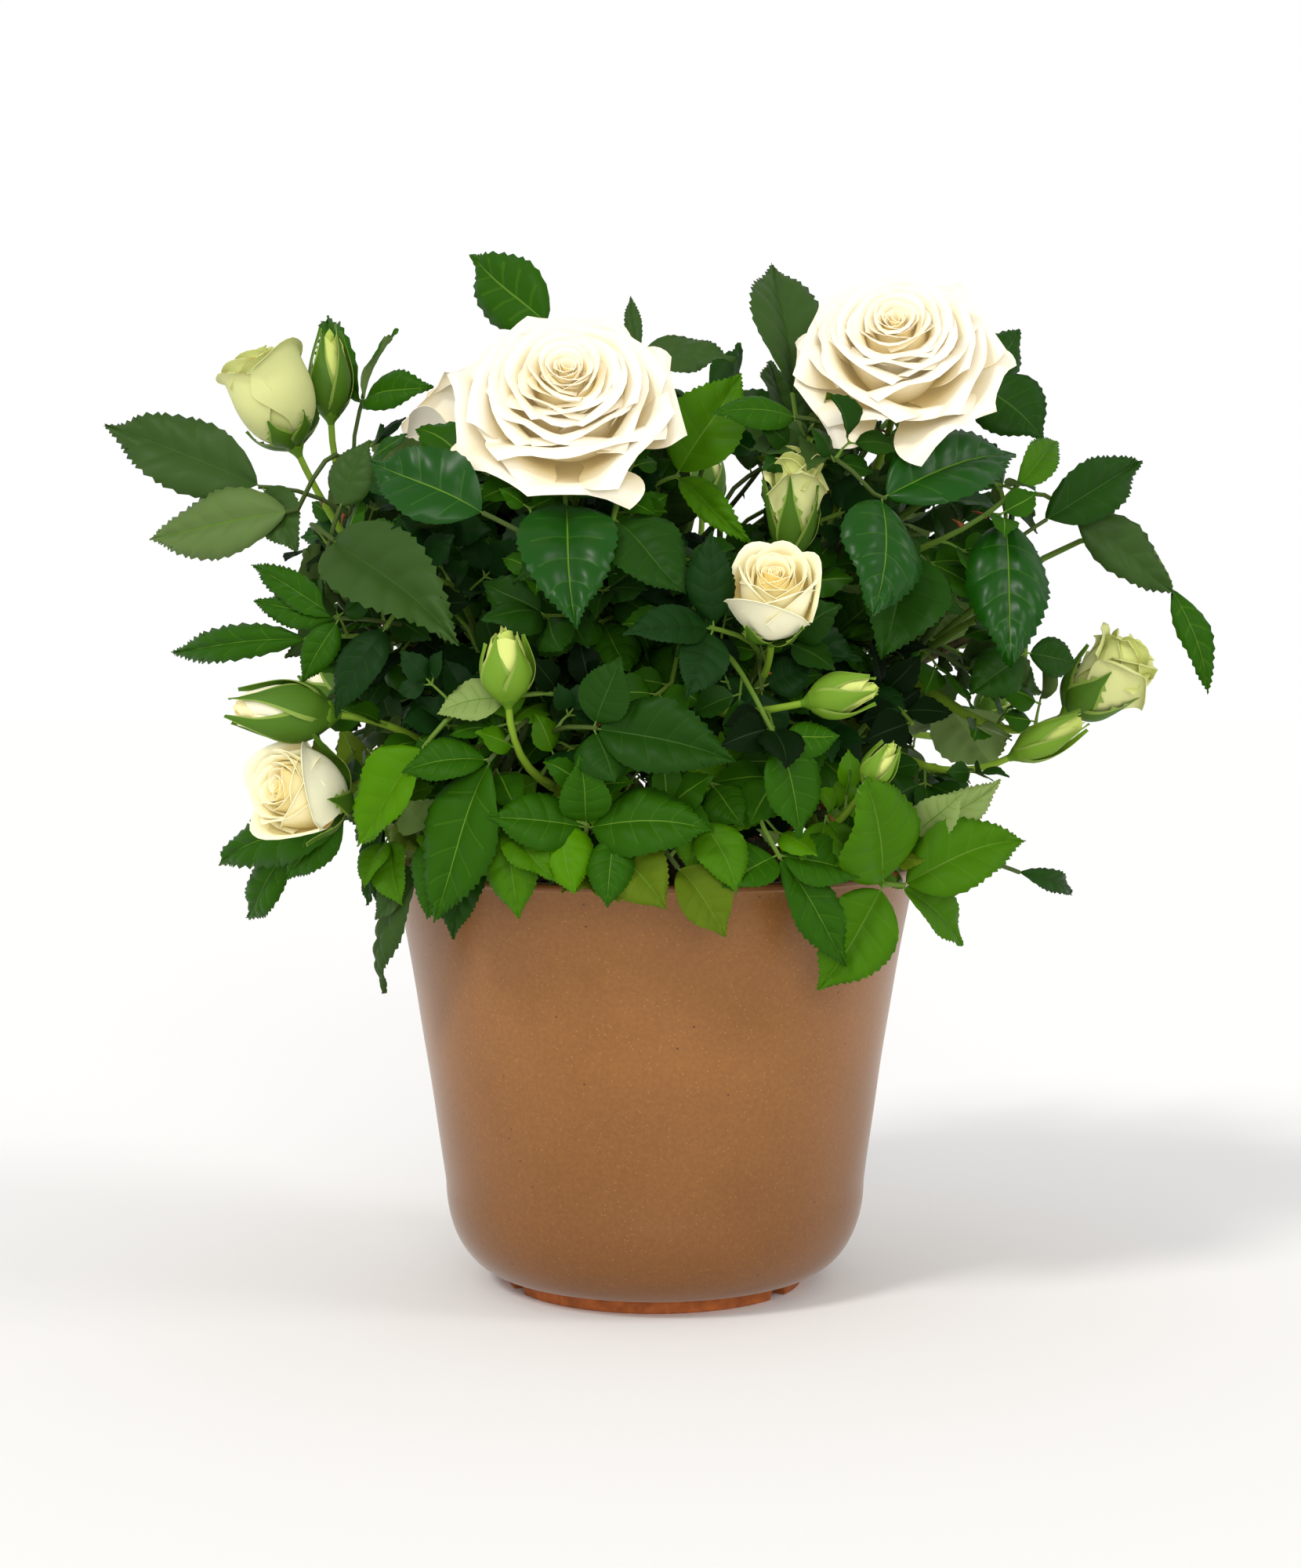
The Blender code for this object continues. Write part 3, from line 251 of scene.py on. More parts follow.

# Leaflets over and behind the pot's front rim, each fan on a short stalk from the nearest twig: its node
# and tips as in FANS. Those that start further behind than the limit below have the near-black shade
# tone: painted shade
LOW_FANS = (
    ((-60, 133, 12), ((-67, 106, -1, 15), (-53, 108, 0, 12))),
    ((-44, 134, 12), ((-40, 106, -1, 14), (-30, 118, 2, 11))),
    ((-28, 136, 12), ((-24, 114, 0, 14),)),
    ((-12, 132, 10), ((-14, 110, -2, 12),)),
    ((14, 136, 14), ((24, 114, 2, 13), (10, 120, 4, 11))),
    ((30, 138, 16), ((32, 114, 2, 13), (42, 122, 6, 12))),
    ((-20, 142, 22), ((-6, 132, 14, 12), (-32, 130, 14, 11))),
    ((16, 146, 26), ((26, 134, 18, 13), (4, 136, 18, 12))),
    ((50, 136, 20), ((44, 112, 6, 12), (58, 120, 10, 12))),
    ((-78, 130, 24), ((-74, 110, 12, 12), (-86, 116, 16, 11))),
    ((12, 142, 62), ((36, 134, 56, 18), (24, 146, 60, 14))),
    ((44, 142, 66), ((20, 136, 60, 18), (34, 130, 62, 14))),
)
LOW_FANS_SHADED_BEYOND = 50
LOW_FAN_REACH = 40 * MM
LOW_FAN_TONES = ("mid", "bright", "dark", "mid", "young")

# Where the viewer sees sky through the crown: low and high corners (across, up)
SKY_WINDOWS = (
    ((9, 217), (31, 241)),
    ((-24, 277), (24, 330)),
    ((113, 190), (135, 236)),
    ((-136, 168), (-108, 183)),
    ((-112, 190), (-98, 200)),
    ((78, 150), (92, 164)),
)

# How far the unlit mass of the crown reaches from OUTLINE_CENTRE, every OUTLINE_STEP degrees from
# the viewer's right round to the left by way of the top
OUTLINE_CENTRE = (0, 196)
OUTLINE_STEP = 22.5
OUTLINE_REACH = (116, 118, 108, 88, 74, 84, 88, 104, 112, 108, 112, 96, 98, 96, 112, 116)

# Sprays that a rule spreads evenly over the crown
SPRAY_COUNT = 57
SPRAY_SURFACE = (112 * MM, 104 * MM, 92 * MM)
SPRAY_CENTRE = Vector((0, 0, 182 * MM))
SPRAY_LOWEST = -0.74
SPRAY_LOW_FULLNESS = 0.4
SPRAY_TOP_FULLNESS = 0.9
SPRAY_INSET = 12 * MM
SPRAY_FRONT_INSET = 40 * MM
SPRAY_FRONT_FROM = -0.35
SPRAY_LEAF_SHAPE = 0.60
SPRAY_SWING = 0.8
SPRAY_DROOP = (0.1, 0.6)
SPRAY_ROLL = 0.35
SPRAY_NODE_AT = 0.5
SPRAY_PAIR_GAP = 0.35
GOLDEN_ANGLE = math.radians(137.508)

# A whole turn, for angles that are drawn at random
TURN = 6.28

# A spray's leaflets: pairs back from the end leaflet, forward and sideways lean, and size
SPRAY_LEAFLETS = (
    (0, 1, 0, 1.0),
    (0, 0.55, -1, 0.86),
    (1, 0.35, -1, 0.66),
    (0, 0.55, 1, 0.86),
    (1, 0.35, 1, 0.66),
)

# A fan's leaflets: how far one may move in or out where a neighbour is in its way, and its roll
FAN_SHIFTS = (0, 5, -5, 10, -10, 16)
FAN_ROLL = 0.2

# More sprays on the crown's top, and over the pot's rim at the back and the sides, at angles from,
# to, and step, in degrees
TOP_SPRAY_ANGLES = (-20, 340, 60)
TOP_SPRAY_CENTRE = Vector((4, 22, 248)) * MM
TOP_SPRAY_RADIUS = 34 * MM
TOP_SPRAY_SLOPE = 2
RIM_SPRAY_ANGLES = (-12, 200, 26)
RIM_SPRAY_RADIUS = 84 * MM
RIM_SPRAY_HEIGHT = 138 * MM
RIM_SPRAY_SLOPE = 0.1

# Sprays of small leaflets that fill the crown from within: layers as (share of the way out, count)
FILL_LAYERS = ((0.86, 46), (0.66, 40), (0.45, 22))

# A spray's leaflet lengths, the least leaflets that it keeps, the tries for it, and how many of the
# nearest masses it may grow from: sprays on the crown, and inside it
SPRAY_RULE = ((27 * MM, 37 * MM), 3, 8, 2)
FILL_RULE = ((15 * MM, 24 * MM), 2, 6, 3)

# Small leaves along the longer twigs: shares of the way along, leaflet and stalk lengths, how a stalk
# leans on along the twig and up, and the lengths from which a leaf has a second pair, is made with
# more rows, and a twig has leaves at all
SIDE_PLACES = (0.25, 0.45, 0.65)
SIDE_TRIES = 5
SIDE_LEAFLET = (11 * MM, 20 * MM)
SIDE_STALK = (4 * MM, 10 * MM)
SIDE_LEAN = 0.5
SIDE_LIFT = 0.35
SIDE_PAIR_FROM = 17 * MM
SIDE_LEAST = 2
TINY_BELOW = 19 * MM
SIDE_TWIG_FROM = 22 * MM

# Leaf colours as display values, with the roughness and the strength of the shine. The near-black shade
# tone is painted shade for leaves inside the crown; the sage and grey tones are partly the leaves' own
# grey-green and partly a painted greyish sheen
TONES = {
    "glossy": ((20, 70, 6), 0.32, 0.20),
    "dark": ((28, 64, 8), 0.44, 0.08),
    "deep": ((18, 50, 12), 0.48, 0.08),
    "shade": ((10, 28, 6), 0.55, 0.04),
    "mid": ((40, 84, 5), 0.44, 0.06),
    "bright": ((62, 108, 5), 0.46, 0.06),
    "young": ((72, 122, 2), 0.44, 0.06),
    "sage": ((50, 78, 26), 0.48, 0.14),
    "grey": ((90, 114, 58), 0.52, 0.12),
    "olive": ((84, 106, 16), 0.52, 0.06),
    "pale": ((128, 150, 82), 0.55, 0.10),
}
# The midribs' colours; rib_shade is the darkest, for the deep tone and for the shade tone's painted shade
RIB_COLOURS = {"rib": (88, 126, 30), "rib_dark": (52, 86, 22), "rib_shade": (24, 46, 14)}
UNDER_COLOURS = {"under": (104, 130, 66), "under_dark": (58, 84, 34)}

# Tones with darker ribs and undersides, those with the darkest ribs, and those of the layers nearer
# the crown's heart than the share below, darker there as painted shade for the shadow in the crown
DARK_TONES = ("dark", "deep", "shade", "sage")
DARKEST_TONES = ("deep", "shade")
PAINTED_SHADE_TONES = ("shade", "deep", "shade", "dark")
PAINTED_SHADE_WITHIN = 0.8

# The tones of sprays low in the crown's front, high in it, elsewhere inside it and elsewhere; the darker
# ones inside are painted shade
REGION_TONES = {
    "low": "mid mid bright bright young dark olive",
    "high": "dark mid mid sage glossy olive",
    "inside": "dark deep shade mid dark mid",
    "outside": "mid dark glossy sage deep mid bright",
}
FRONT_BEFORE = -20 * MM
LOW_BELOW = 160 * MM
HIGH_ABOVE = 225 * MM

# The leaves' material slots: the tones, their veins, the ribs, the undersides
TONE_NAMES = list(TONES)
VEIN_SLOT = len(TONES)
RIB_SLOT = 2 * len(TONES)
UNDER_SLOT = RIB_SLOT + len(RIB_COLOURS)

# How far a side vein's colour goes from its leaf's to the rib's
VEIN_PALENESS = 0.26


def place(across, up, depth):
    """The point that the viewer sees at (across, up), depth behind the pot's axis; millimetres."""
    nearer = 1 + depth * MM / EYE_DISTANCE
    height = EYE_HEIGHT + (up * MM - EYE_HEIGHT) * nearer
    return Vector((across * MM * nearer, depth * MM, height))


def seen(point):
    """Where the viewer sees a point, as (across, up) in millimetres."""
    nearer = 1 + point.y / EYE_DISTANCE
    return point.x / nearer / MM, (EYE_HEIGHT + (point.z - EYE_HEIGHT) / nearer) / MM


def on_crown(across, up, behind):
    """The point seen at (across, up), behind millimetres inside the crown's near surface."""
    share = 1 - (across * MM / CROWN_WIDTH) ** 2 - ((up * MM - CROWN_CENTRE) / CROWN_HEIGHT) ** 2
    depth = -CROWN_DEPTH / MM * math.sqrt(max(CROWN_RIM_SHARE, share))
    return place(across, up, depth + behind)


def wall_radius(height):
    """The pot's outer radius at a height above the floor."""
    if height >= BOWL_TOP:
        share = min(1, (height - BOWL_TOP) / (POT_HEIGHT - BOWL_TOP))
        bow = 4 * WALL_BOW * share * (1 - share)
        return BOWL_RADIUS + (RIM_RADIUS - BOWL_RADIUS) * share - bow
    drop = (BOWL_TOP - max(height, FOOT_HEIGHT)) / (BOWL_TOP - FOOT_HEIGHT)
    return BOWL_FOOT_RADIUS + (BOWL_RADIUS - BOWL_FOOT_RADIUS) * math.sqrt(1 - drop**2)


def in_pot(point, margin):
    """True where a point lies in the pot's wall or the soil, or within a margin of them."""
    if point.z > POT_HEIGHT + margin:
        return False
    radius = math.hypot(point.x, point.y)
    if radius > wall_radius(point.z) + margin:
        return False
    inside_wall = radius < wall_radius(point.z) - WALL_THICKNESS - margin
    return not (inside_wall and point.z > SOIL_TOP + SOIL_DOME + margin)


def in_sky(point):
    """True where a point would close one of the crown's gaps or pass its outline."""
    across, up = seen(point)
    for low, high in SKY_WINDOWS:
        if low[0] < across < high[0] and low[1] < up < high[1]:
            return True
    right = across - OUTLINE_CENTRE[0]
    above = up - OUTLINE_CENTRE[1]
    turn = math.degrees(math.atan2(above, right)) % 360 / OUTLINE_STEP
    before = int(turn) % len(OUTLINE_REACH)
    after = (before + 1) % len(OUTLINE_REACH)
    share = turn - int(turn)
    reach = OUTLINE_REACH[before] * (1 - share) + OUTLINE_REACH[after] * share
    return math.hypot(right, above) > reach


def facing(turn, tilt):
    """The unit vector that faces turn degrees to the viewer's right of the viewer, tilted up."""
    turn = math.radians(turn)
    tilt = math.radians(tilt)
    return Vector((math.sin(turn) * math.cos(tilt), -math.cos(turn) * math.cos(tilt), math.sin(tilt)))


def spread(number, count, turn):
    """One of count directions spread evenly over the crown, and the way that the crown faces there."""
    level = 1 - (number + 0.5) / count * (1 - SPRAY_LOWEST)
    flat = math.sqrt(1 - level**2)
    wide = flat ** (SPRAY_LOW_FULLNESS if level < 0 else SPRAY_TOP_FULLNESS)
    toward = Vector((math.cos(turn) * wide, math.sin(turn) * wide, level))
    outward = Vector([toward[i] / SPRAY_SURFACE[i] for i in range(3)]).normalized()
    return toward, outward


def spray_places():
    """Where sprays grow and which way they face: over the crown, on its top, and over the rim."""
    places = []
    for angle in range(*TOP_SPRAY_ANGLES):
        across = Vector((math.cos(math.radians(angle)), math.sin(math.radians(angle)), 0))
        centre = TOP_SPRAY_CENTRE + across * TOP_SPRAY_RADIUS
        places.append((centre, (across + Vector((0, 0, TOP_SPRAY_SLOPE))).normalized()))
    for angle in range(*RIM_SPRAY_ANGLES):
        across = Vector((math.cos(math.radians(angle)), math.sin(math.radians(angle)), 0))
        centre = across * RIM_SPRAY_RADIUS + Vector((0, 0, RIM_SPRAY_HEIGHT))
        places.append((centre, (across + Vector((0, 0, RIM_SPRAY_SLOPE))).normalized()))
    for number in range(SPRAY_COUNT):
        toward, outward = spread(number, SPRAY_COUNT, number * GOLDEN_ANGLE)
        surface = Vector([toward[i] * SPRAY_SURFACE[i] for i in range(3)])
        inset = SPRAY_FRONT_INSET if toward.y < SPRAY_FRONT_FROM else SPRAY_INSET
        places.append((SPRAY_CENTRE + surface - outward * inset, outward))
    return places


def fill_places():
    """Where the small sprays inside the crown grow: the share of the way out, place and direction."""
    places = []
    for share, count in FILL_LAYERS:
        for number in range(count):
            toward, outward = spread(number, count, (number + share * 10) * GOLDEN_ANGLE)
            surface = Vector([toward[i] * SPRAY_SURFACE[i] * share for i in range(3)])
            places.append((share, SPRAY_CENTRE + surface, outward))
    return places


def leaf_normal(base, tip):
    """The way a leaf's upper side faces: out of the crown and a little up, square to the leaf."""
    middle = (base + tip) / 2
    outward = Vector((middle.x / CROWN_WIDTH**2, middle.y / CROWN_DEPTH**2, 0)).normalized()
    wanted = outward + Vector((0, 0, LEAF_UPTURN))
    along = (tip - base).normalized()
    return (wanted - along * wanted.dot(along)).normalized()


def square_to(axis, chance):
    """A direction square to an axis, at a random turn about it."""
    return Matrix.Rotation(chance.uniform(0, TURN), 3, axis) @ axis.orthogonal().normalized()


def bend(start, control, end, steps):
    """Points along a smooth bend from start to end."""
    points = []
    for step in range(steps + 1):
        share = step / steps
        points.append(start * (1 - share) ** 2 + control * 2 * share * (1 - share) + end * share**2)
    return points


def tube_mesh(path, first_radius, last_radius, sides):
    """A closed tapering tube: a polygon extruded, turned and scaled from point to point of a path."""
    mesh = bmesh.new()
    last = len(path) - 1
    tangent = (path[1] - path[0]).normalized()
    made = bmesh.ops.create_circle(mesh, cap_ends=True, segments=sides, radius=first_radius)
    cap = made["verts"][0].link_faces[0]
    start = Matrix.Translation(path[0]) @ tangent.to_track_quat("Z", "Y").to_matrix().to_4x4()
    bmesh.ops.transform(mesh, matrix=start, verts=cap.verts)
    for index in range(1, last + 1):
        made = bmesh.ops.extrude_face_region(mesh, geom=[cap])["geom"]
        if index > 1:
            bmesh.ops.delete(mesh, geom=[cap], context="FACES_ONLY")
        cap = next(item for item in made if isinstance(item, bmesh.types.BMFace))
        new_tangent = (path[min(index + 1, last)] - path[index - 1]).normalized()
        turn = tangent.rotation_difference(new_tangent).to_matrix()
        before = first_radius + (last_radius - first_radius) * (index - 1) / last
        after = first_radius + (last_radius - first_radius) * index / last
        for corner in cap.verts:
            corner.co = path[index] + turn @ (corner.co - path[index - 1]) * after / before
        tangent = new_tangent
    bmesh.ops.recalc_face_normals(mesh, faces=mesh.faces)
    bmesh.ops.triangulate(mesh, faces=mesh.faces)
    return mesh


def cane_mesh(path):
    """A cane, from its flat cut on the soil to its tip."""
    return tube_mesh(path, CANE_FOOT_RADIUS, CANE_TIP_RADIUS, CANE_SIDES)


def stem_mesh(path):
    """The stem inside a mass, which carries on from its cane's tip."""
    return tube_mesh(path, CANE_TIP_RADIUS, STEM_TIP_RADIUS, STEM_SIDES)


def leaf_mesh(base, tip, normal, width, margin=0):
    """A leaf as an eight-sided lens: its root sunk behind base, arched and folded up at the edges."""
    mesh = bmesh.new()
    bmesh.ops.create_uvsphere(mesh, u_segments=4, v_segments=2, radius=1)
    along = (tip - base).normalized()
    side = normal.cross(along)
    root = base - along * LEAF_ROOT
    length = (tip - root).length + margin
    for corner in mesh.verts:
        end = round(corner.co.x)
        edge = round(corner.co.y)
        share = (1 + end) / 2 if end else LEAF_WIDEST_AT if edge else LEAF_THICKEST_AT
        thick = corner.co.z * (LEAF_THICKNESS / 2 + margin)
        arch = 0 if end else LEAF_ARCH * length + abs(edge) * LEAF_FOLD * width
        out = edge * (width / 2 + margin)
        corner.co = root + along * length * share + side * out + normal * (thick + arch)
    return mesh


def flower_radius(kind, share):
    """A flower's radius at a share of its height, each as a share of the whole."""
    skew, fullness = FLOWER_PROFILE[kind]
    return math.sin(math.pi * share**skew) ** fullness


def flower_mesh(kind, foot, axis, radius, height, margin=0):
    """A flower's body: a ball drawn out to the flower's own profile."""
    sides, rings = FLOWER_SIDES[kind]
    mesh = bmesh.new()
    bmesh.ops.create_uvsphere(mesh, u_segments=sides, v_segments=rings, radius=1)
    frame = axis.to_track_quat("Z", "Y").to_matrix()
    for corner in mesh.verts:
        share = min(1, 0.5 + math.asin(max(-1, min(1, corner.co.z))) / math.pi)
        flat = Vector((corner.co.x, corner.co.y, 0))
        wide = flower_radius(kind, share) * radius + margin
        reach = flat.normalized() * wide if flat.length > 0.01 else flat * 0
        corner.co = foot + frame @ (reach + Vector((0, 0, share * (height + margin) - FLOWER_SUNK)))
    bmesh.ops.triangulate(mesh, faces=mesh.faces)
    return mesh


def petal_plan(kind, foot, axis, radius, height):
    """The outer petals that stand out of a flower: base, tip, normal and width of each."""
    if kind not in OUTER_PETALS:
        return []
    count, low, reach, tip_height, width = OUTER_PETALS[kind]
    frame = axis.to_track_quat("Z", "Y").to_matrix()
    petals = []
    for number in range(count):
        angle = 2 * math.pi * (number + PETAL_TURN) / count
        out = frame @ Vector((math.cos(angle), math.sin(angle), 0))
        base = foot + out * radius * PETAL_FOOT_AT + axis * height * low
        tip = foot + out * radius * reach + axis * height * tip_height
        along = (tip - base).normalized()
        normal = (axis - along * axis.dot(along)).normalized()
        petals.append((base, tip, normal, width * radius))
    return petals


def touches(mesh, solids):
    """True where a mesh touches any of the solids given as (box, hull)."""
    hull = BVHTree.FromBMesh(mesh)
    low, high = box_of(mesh)
    for (other_low, other_high), other in solids:
        apart = any(low[i] > other_high[i] or high[i] < other_low[i] for i in range(3))
        if not apart and hull.overlap(other):
            return True
    return False


def box_of(mesh):
    """The low and high corners of a mesh."""
    low = [min(corner.co[i] for corner in mesh.verts) for i in range(3)]
    high = [max(corner.co[i] for corner in mesh.verts) for i in range(3)]
    return low, high


class Plant:
    """The plan of the whole bush: canes, and each mass with its stem, twigs, leaves and flowers."""

    def __init__(self):
        """Grows the bush: canes and flowers first, then the leaflets."""
        self.random = random.Random(SEED)
        self.solids = []
        self.canes = {}
        self.stems = {}
        self.twigs = {name: [] for name in MASSES}
        self.leaves = {name: [] for name in MASSES}
        self.flowers = {name: [] for name in MASSES}
        for name, (hub, foot) in MASSES.items():
            self.grow_cane(name, place(*hub), foot)
        for mass, kind, foot, face, radius, height in FLOWERS:
            self.grow_flower(mass, kind, place(*foot), facing(*face), radius * MM, height * MM)
        self.tone = TONE_NAMES[0]
        self.fill = False
        self.looks = random.Random(SEED + 7)
        for (mass, node, leaflets), tone in zip(FANS, FAN_TONES):
            self.tone = tone
            self.grow_fan(mass, node, leaflets)
        for target, outward in spray_places():
            self.tone = self.deal_tone(target)
            self.grow_spray(target, outward, *SPRAY_RULE)
        self.fill = True
        for share, target, outward in fill_places():
            # Layers near the crown's heart take darker tones: painted shade
            self.tone = self.deal_tone(target) if share > PAINTED_SHADE_WITHIN else self.looks.choice(PAINTED_SHADE_TONES)
            self.grow_spray(target, outward, *FILL_RULE)
        self.stalks = []
        for mass in MASSES:
            for path, radius in list(self.twigs[mass]):
                if (path[0] - path[-1]).length > SIDE_TWIG_FROM:
                    self.tone = self.deal_tone(path[1])
                    self.grow_side_sprays(mass, path)
        self.fill = False
        for node, leaflets in LOW_FANS:
            self.tone = self.looks.choice(LOW_FAN_TONES)
            # Fans deep behind the rim are painted shade
            if node[2] > LOW_FANS_SHADED_BEYOND:
                self.tone = "shade"
            self.grow_low_fan(node, leaflets)

    def add_solid(self, mass, soft, mesh):
        """Remembers a piece, so that later pieces keep clear of it."""
        self.solids.append((mass, soft, (box_of(mesh), BVHTree.FromBMesh(mesh))))
        mesh.free()

    def others(self, mass):
        """The pieces of every other mass, and the canes."""
        return [solid for owner, soft, solid in self.solids if owner != mass]

    def own(self, mass, soft_only):
        """The mass's own pieces, or only its leaves and flowers."""
        return [
            solid
            for owner, soft, solid in self.solids
            if owner == mass and (soft or not soft_only)
        ]

    def grow_cane(self, name, hub, foot):
        """A cane from the soil towards the mass, and the mass's own stem from its tip."""
        ground = Vector((foot[0] * MM, foot[1] * MM, SOIL_TOP + SOIL_DOME + CLEARANCE))
        rise = Vector((ground.x, ground.y, ground.z + CANE_RISE * (hub.z - ground.z)))
        collar = ground + Vector((0, 0, CANE_COLLAR))
        path = [ground] + bend(collar, rise, hub, CANE_STEPS)
        split = round(len(path) * CANE_SHARE)
        self.canes[name] = path[: split + 1]
        onward = (path[split] - path[split - 1]).normalized()
        start = path[split] + onward * CLEARANCE
        self.stems[name] = [start, start + onward * STEM_COLLAR] + path[split + 1 :]
        self.add_solid("canes", False, cane_mesh(self.canes[name]))
        self.add_solid(name, False, stem_mesh(self.stems[name]))

    def twig_to(self, mass, node, arrival, radius, straight):
        """Adds a twig from the mass's stem to a node, straight at its end; False where it can't."""
        stem = self.stems[mass]
        joint = node - arrival * straight
        nearest = min(range(len(stem)), key=lambda i: (stem[i] - joint).length)
        for step in TWIG_STARTS:
            start = stem[max(1, nearest + step)]
            span = (joint - start).length
            for lift in TWIG_LIFTS:
                control = joint - arrival * span * TWIG_BEND + Vector((0, 0, lift))
                path = bend(start, control, joint, TWIG_STEPS) + [node]
                if self.add_twig(mass, path, radius):
                    return True
        return False

    def add_twig(self, mass, path, radius):
        """Adds a twig along a path if it touches nothing."""
        shares = [step / TWIG_PROBES for step in range(TWIG_PROBES + 1)]
        for before, after in zip(path, path[1:]):
            if any(in_pot(before.lerp(after, share), TWIG_POT_MARGIN) for share in shares):
                return False
        wide = radius + TEST_CLEARANCE
        hull = tube_mesh(path, wide, wide, TWIG_SIDES)
        if touches(hull, self.others(mass)) or touches(hull, self.own(mass, True)):
            hull.free()
            return False
        self.add_solid(mass, False, hull)
        self.twigs[mass].append((path, radius))
        return True

    def grow_flower(self, mass, kind, foot, axis, radius, height):
        """A flower or bud with its outer petals, at the end of its stalk."""
        self.twig_to(mass, foot + axis * FLOWER_SUNK, axis, STALK_RADIUS, 2 * FLOWER_SUNK)
        self.flowers[mass].append((kind, foot, axis, radius, height))
        self.add_solid(mass, True, flower_mesh(kind, foot, axis, radius, height, TEST_CLEARANCE))
        for base, tip, normal, width in petal_plan(kind, foot, axis, radius, height):
            self.add_solid(mass, True, leaf_mesh(base, tip, normal, width, TEST_CLEARANCE))

    def add_leaf(self, mass, base, tip, width, roll):
        """Adds one leaflet if it has room."""
        along = (tip - base).normalized()
        normal = Matrix.Rotation(roll, 3, along) @ leaf_normal(base, tip)
        side = normal.cross(along)
        middle = base.lerp(tip, LEAF_WIDEST_AT)
        edges = [base, tip, middle, middle + side * width / 2, middle - side * width / 2]
        edges.append(base.lerp(tip, LEAF_PROBE_AT))
        if any(in_pot(point, LEAF_POT_MARGIN) for point in edges):
            return False
        hull = leaf_mesh(base, tip, normal, width, TEST_CLEARANCE)
        blade = leaf_mesh(base + along * BLADE_FROM, tip, normal, width, TEST_CLEARANCE)
        clear = not (touches(hull, self.others(mass)) or touches(blade, self.own(mass, False)))
        blade.free()
        if not clear:
            hull.free()
            return False
        self.add_solid(mass, True, hull)
        self.leaves[mass].append((base, tip, normal, width, self.tone, self.fill))
        return True

    def grow_fan(self, mass, node, leaflets):
        """Leaflets from one node, each moved a little in or out where a neighbour is in its way."""
        joint = on_crown(*node)
        tips = [on_crown(*leaflet[:3]) for leaflet in leaflets]
        arrival = (sum(tips, Vector()) / len(tips) - joint).normalized()
        end = joint + arrival * TWIG_OVERRUN
        if not self.twig_to(mass, end, arrival, TWIG_RADIUS, 3 * TWIG_OVERRUN):
            return
        for across, up, behind, width in leaflets:
            for shift in FAN_SHIFTS:
                tip = on_crown(across, up, behind + shift)
                roll = self.random.uniform(-FAN_ROLL, FAN_ROLL)
                if self.add_leaf(mass, joint, tip, width * MM, roll):
                    break

    def grow_low_fan(self, node, leaflets):
        """Leaflets from a node on a short stalk, which starts at the nearest twig."""
        joint = on_crown(*node)
        near = []
        for mass in MASSES:
            for path in [self.stems[mass], *[path for path, radius in self.twigs[mass]]]:
                near += [((point - joint).length, mass, point) for point in path[1:]]
        far, mass, start = min(near, key=lambda entry: entry[0])
        if far > LOW_FAN_REACH:
            return
        grown = 0
        for across, up, behind, width in leaflets:
            for shift in FAN_SHIFTS:
                tip = on_crown(across, up, behind + shift)
                if self.add_leaf(mass, joint, tip, width * MM, self.random.uniform(-FAN_ROLL, FAN_ROLL)):
                    grown += 1
                    break
        if grown:
            self.stalks.append((start, joint, (joint - start).normalized()))

    def grow_spray(self, target, outward, sizes, least, tries, nearest):
        """A spray of leaflets at a place on or in the crown, from one of the nearest masses."""
        by_distance = sorted(MASSES, key=lambda name: (place(*MASSES[name][0]) - target).length)
        for attempt in range(tries):
            if self.spray_grew(by_distance[attempt % nearest], target, outward, sizes, least):
                return

    def grow_side_sprays(self, mass, path):
        """Small leaves along a twig, each on its own short stalk."""
        line = fine_path(path, 8)
        for share in SIDE_PLACES:
            index = int(share * (len(line) - 2)) + 1
            along = (line[index + 1] - line[index - 1]).normalized()
            for attempt in range(SIDE_TRIES):
                out = square_to(along, self.random)
                out = (out + along * SIDE_LEAN + Vector((0, 0, SIDE_LIFT))).normalized()
                size = self.random.uniform(*SIDE_LEAFLET)
                stalk = self.random.uniform(*SIDE_STALK)
                rolls = [self.random.uniform(-SPRAY_ROLL, SPRAY_ROLL) for leaflet in SPRAY_LEAFLETS]
                node = line[index] + out * stalk
                if self.side_spray_grew(mass, line[index], node, out, size, rolls):
                    break

    def side_spray_grew(self, mass, start, node, out, size, rolls):
        """Tries one small spray at the end of a short stalk, and keeps what has room."""
        if in_sky(node) or in_pot(node, LEAF_POT_MARGIN):
            return False
        grown = self.add_leaflets(mass, node, out, size, rolls, SIDE_PAIR_FROM)
        if grown < SIDE_LEAST:
            del self.leaves[mass][len(self.leaves[mass]) - grown :]
            del self.solids[len(self.solids) - grown :]
            return False
        self.stalks.append((start, node, out))
        return True

    def add_leaflets(self, mass, node, out, length, rolls, pairs_from=0):
        """Adds a spray's leaflets to its node and behind it, and tells how many had room."""
        side = leaf_normal(node, node + out).cross(out)
        grown = 0
        for (pairs_back, forward, sideways, share), roll in zip(SPRAY_LEAFLETS, rolls):
            if pairs_back and length < pairs_from:
                continue
            base = node - out * length * SPRAY_PAIR_GAP * pairs_back
            along = (out * forward + side * sideways).normalized()
            tip = base + along * length * share
            if not (in_sky(tip) or in_sky(base.lerp(tip, 0.5))):
                grown += self.add_leaf(mass, base, tip, length * share * SPRAY_LEAF_SHAPE, roll)
        return grown

    def deal_tone(self, target):
        """A tone for a spray: brighter low in front, darker high, and darker inside as painted shade."""
        if target.y < FRONT_BEFORE and target.z < LOW_BELOW:
            region = "low"
        elif target.z > HIGH_ABOVE:
            region = "high"
        else:
            region = "inside" if self.fill else "outside"
        return self.looks.choice(REGION_TONES[region].split())

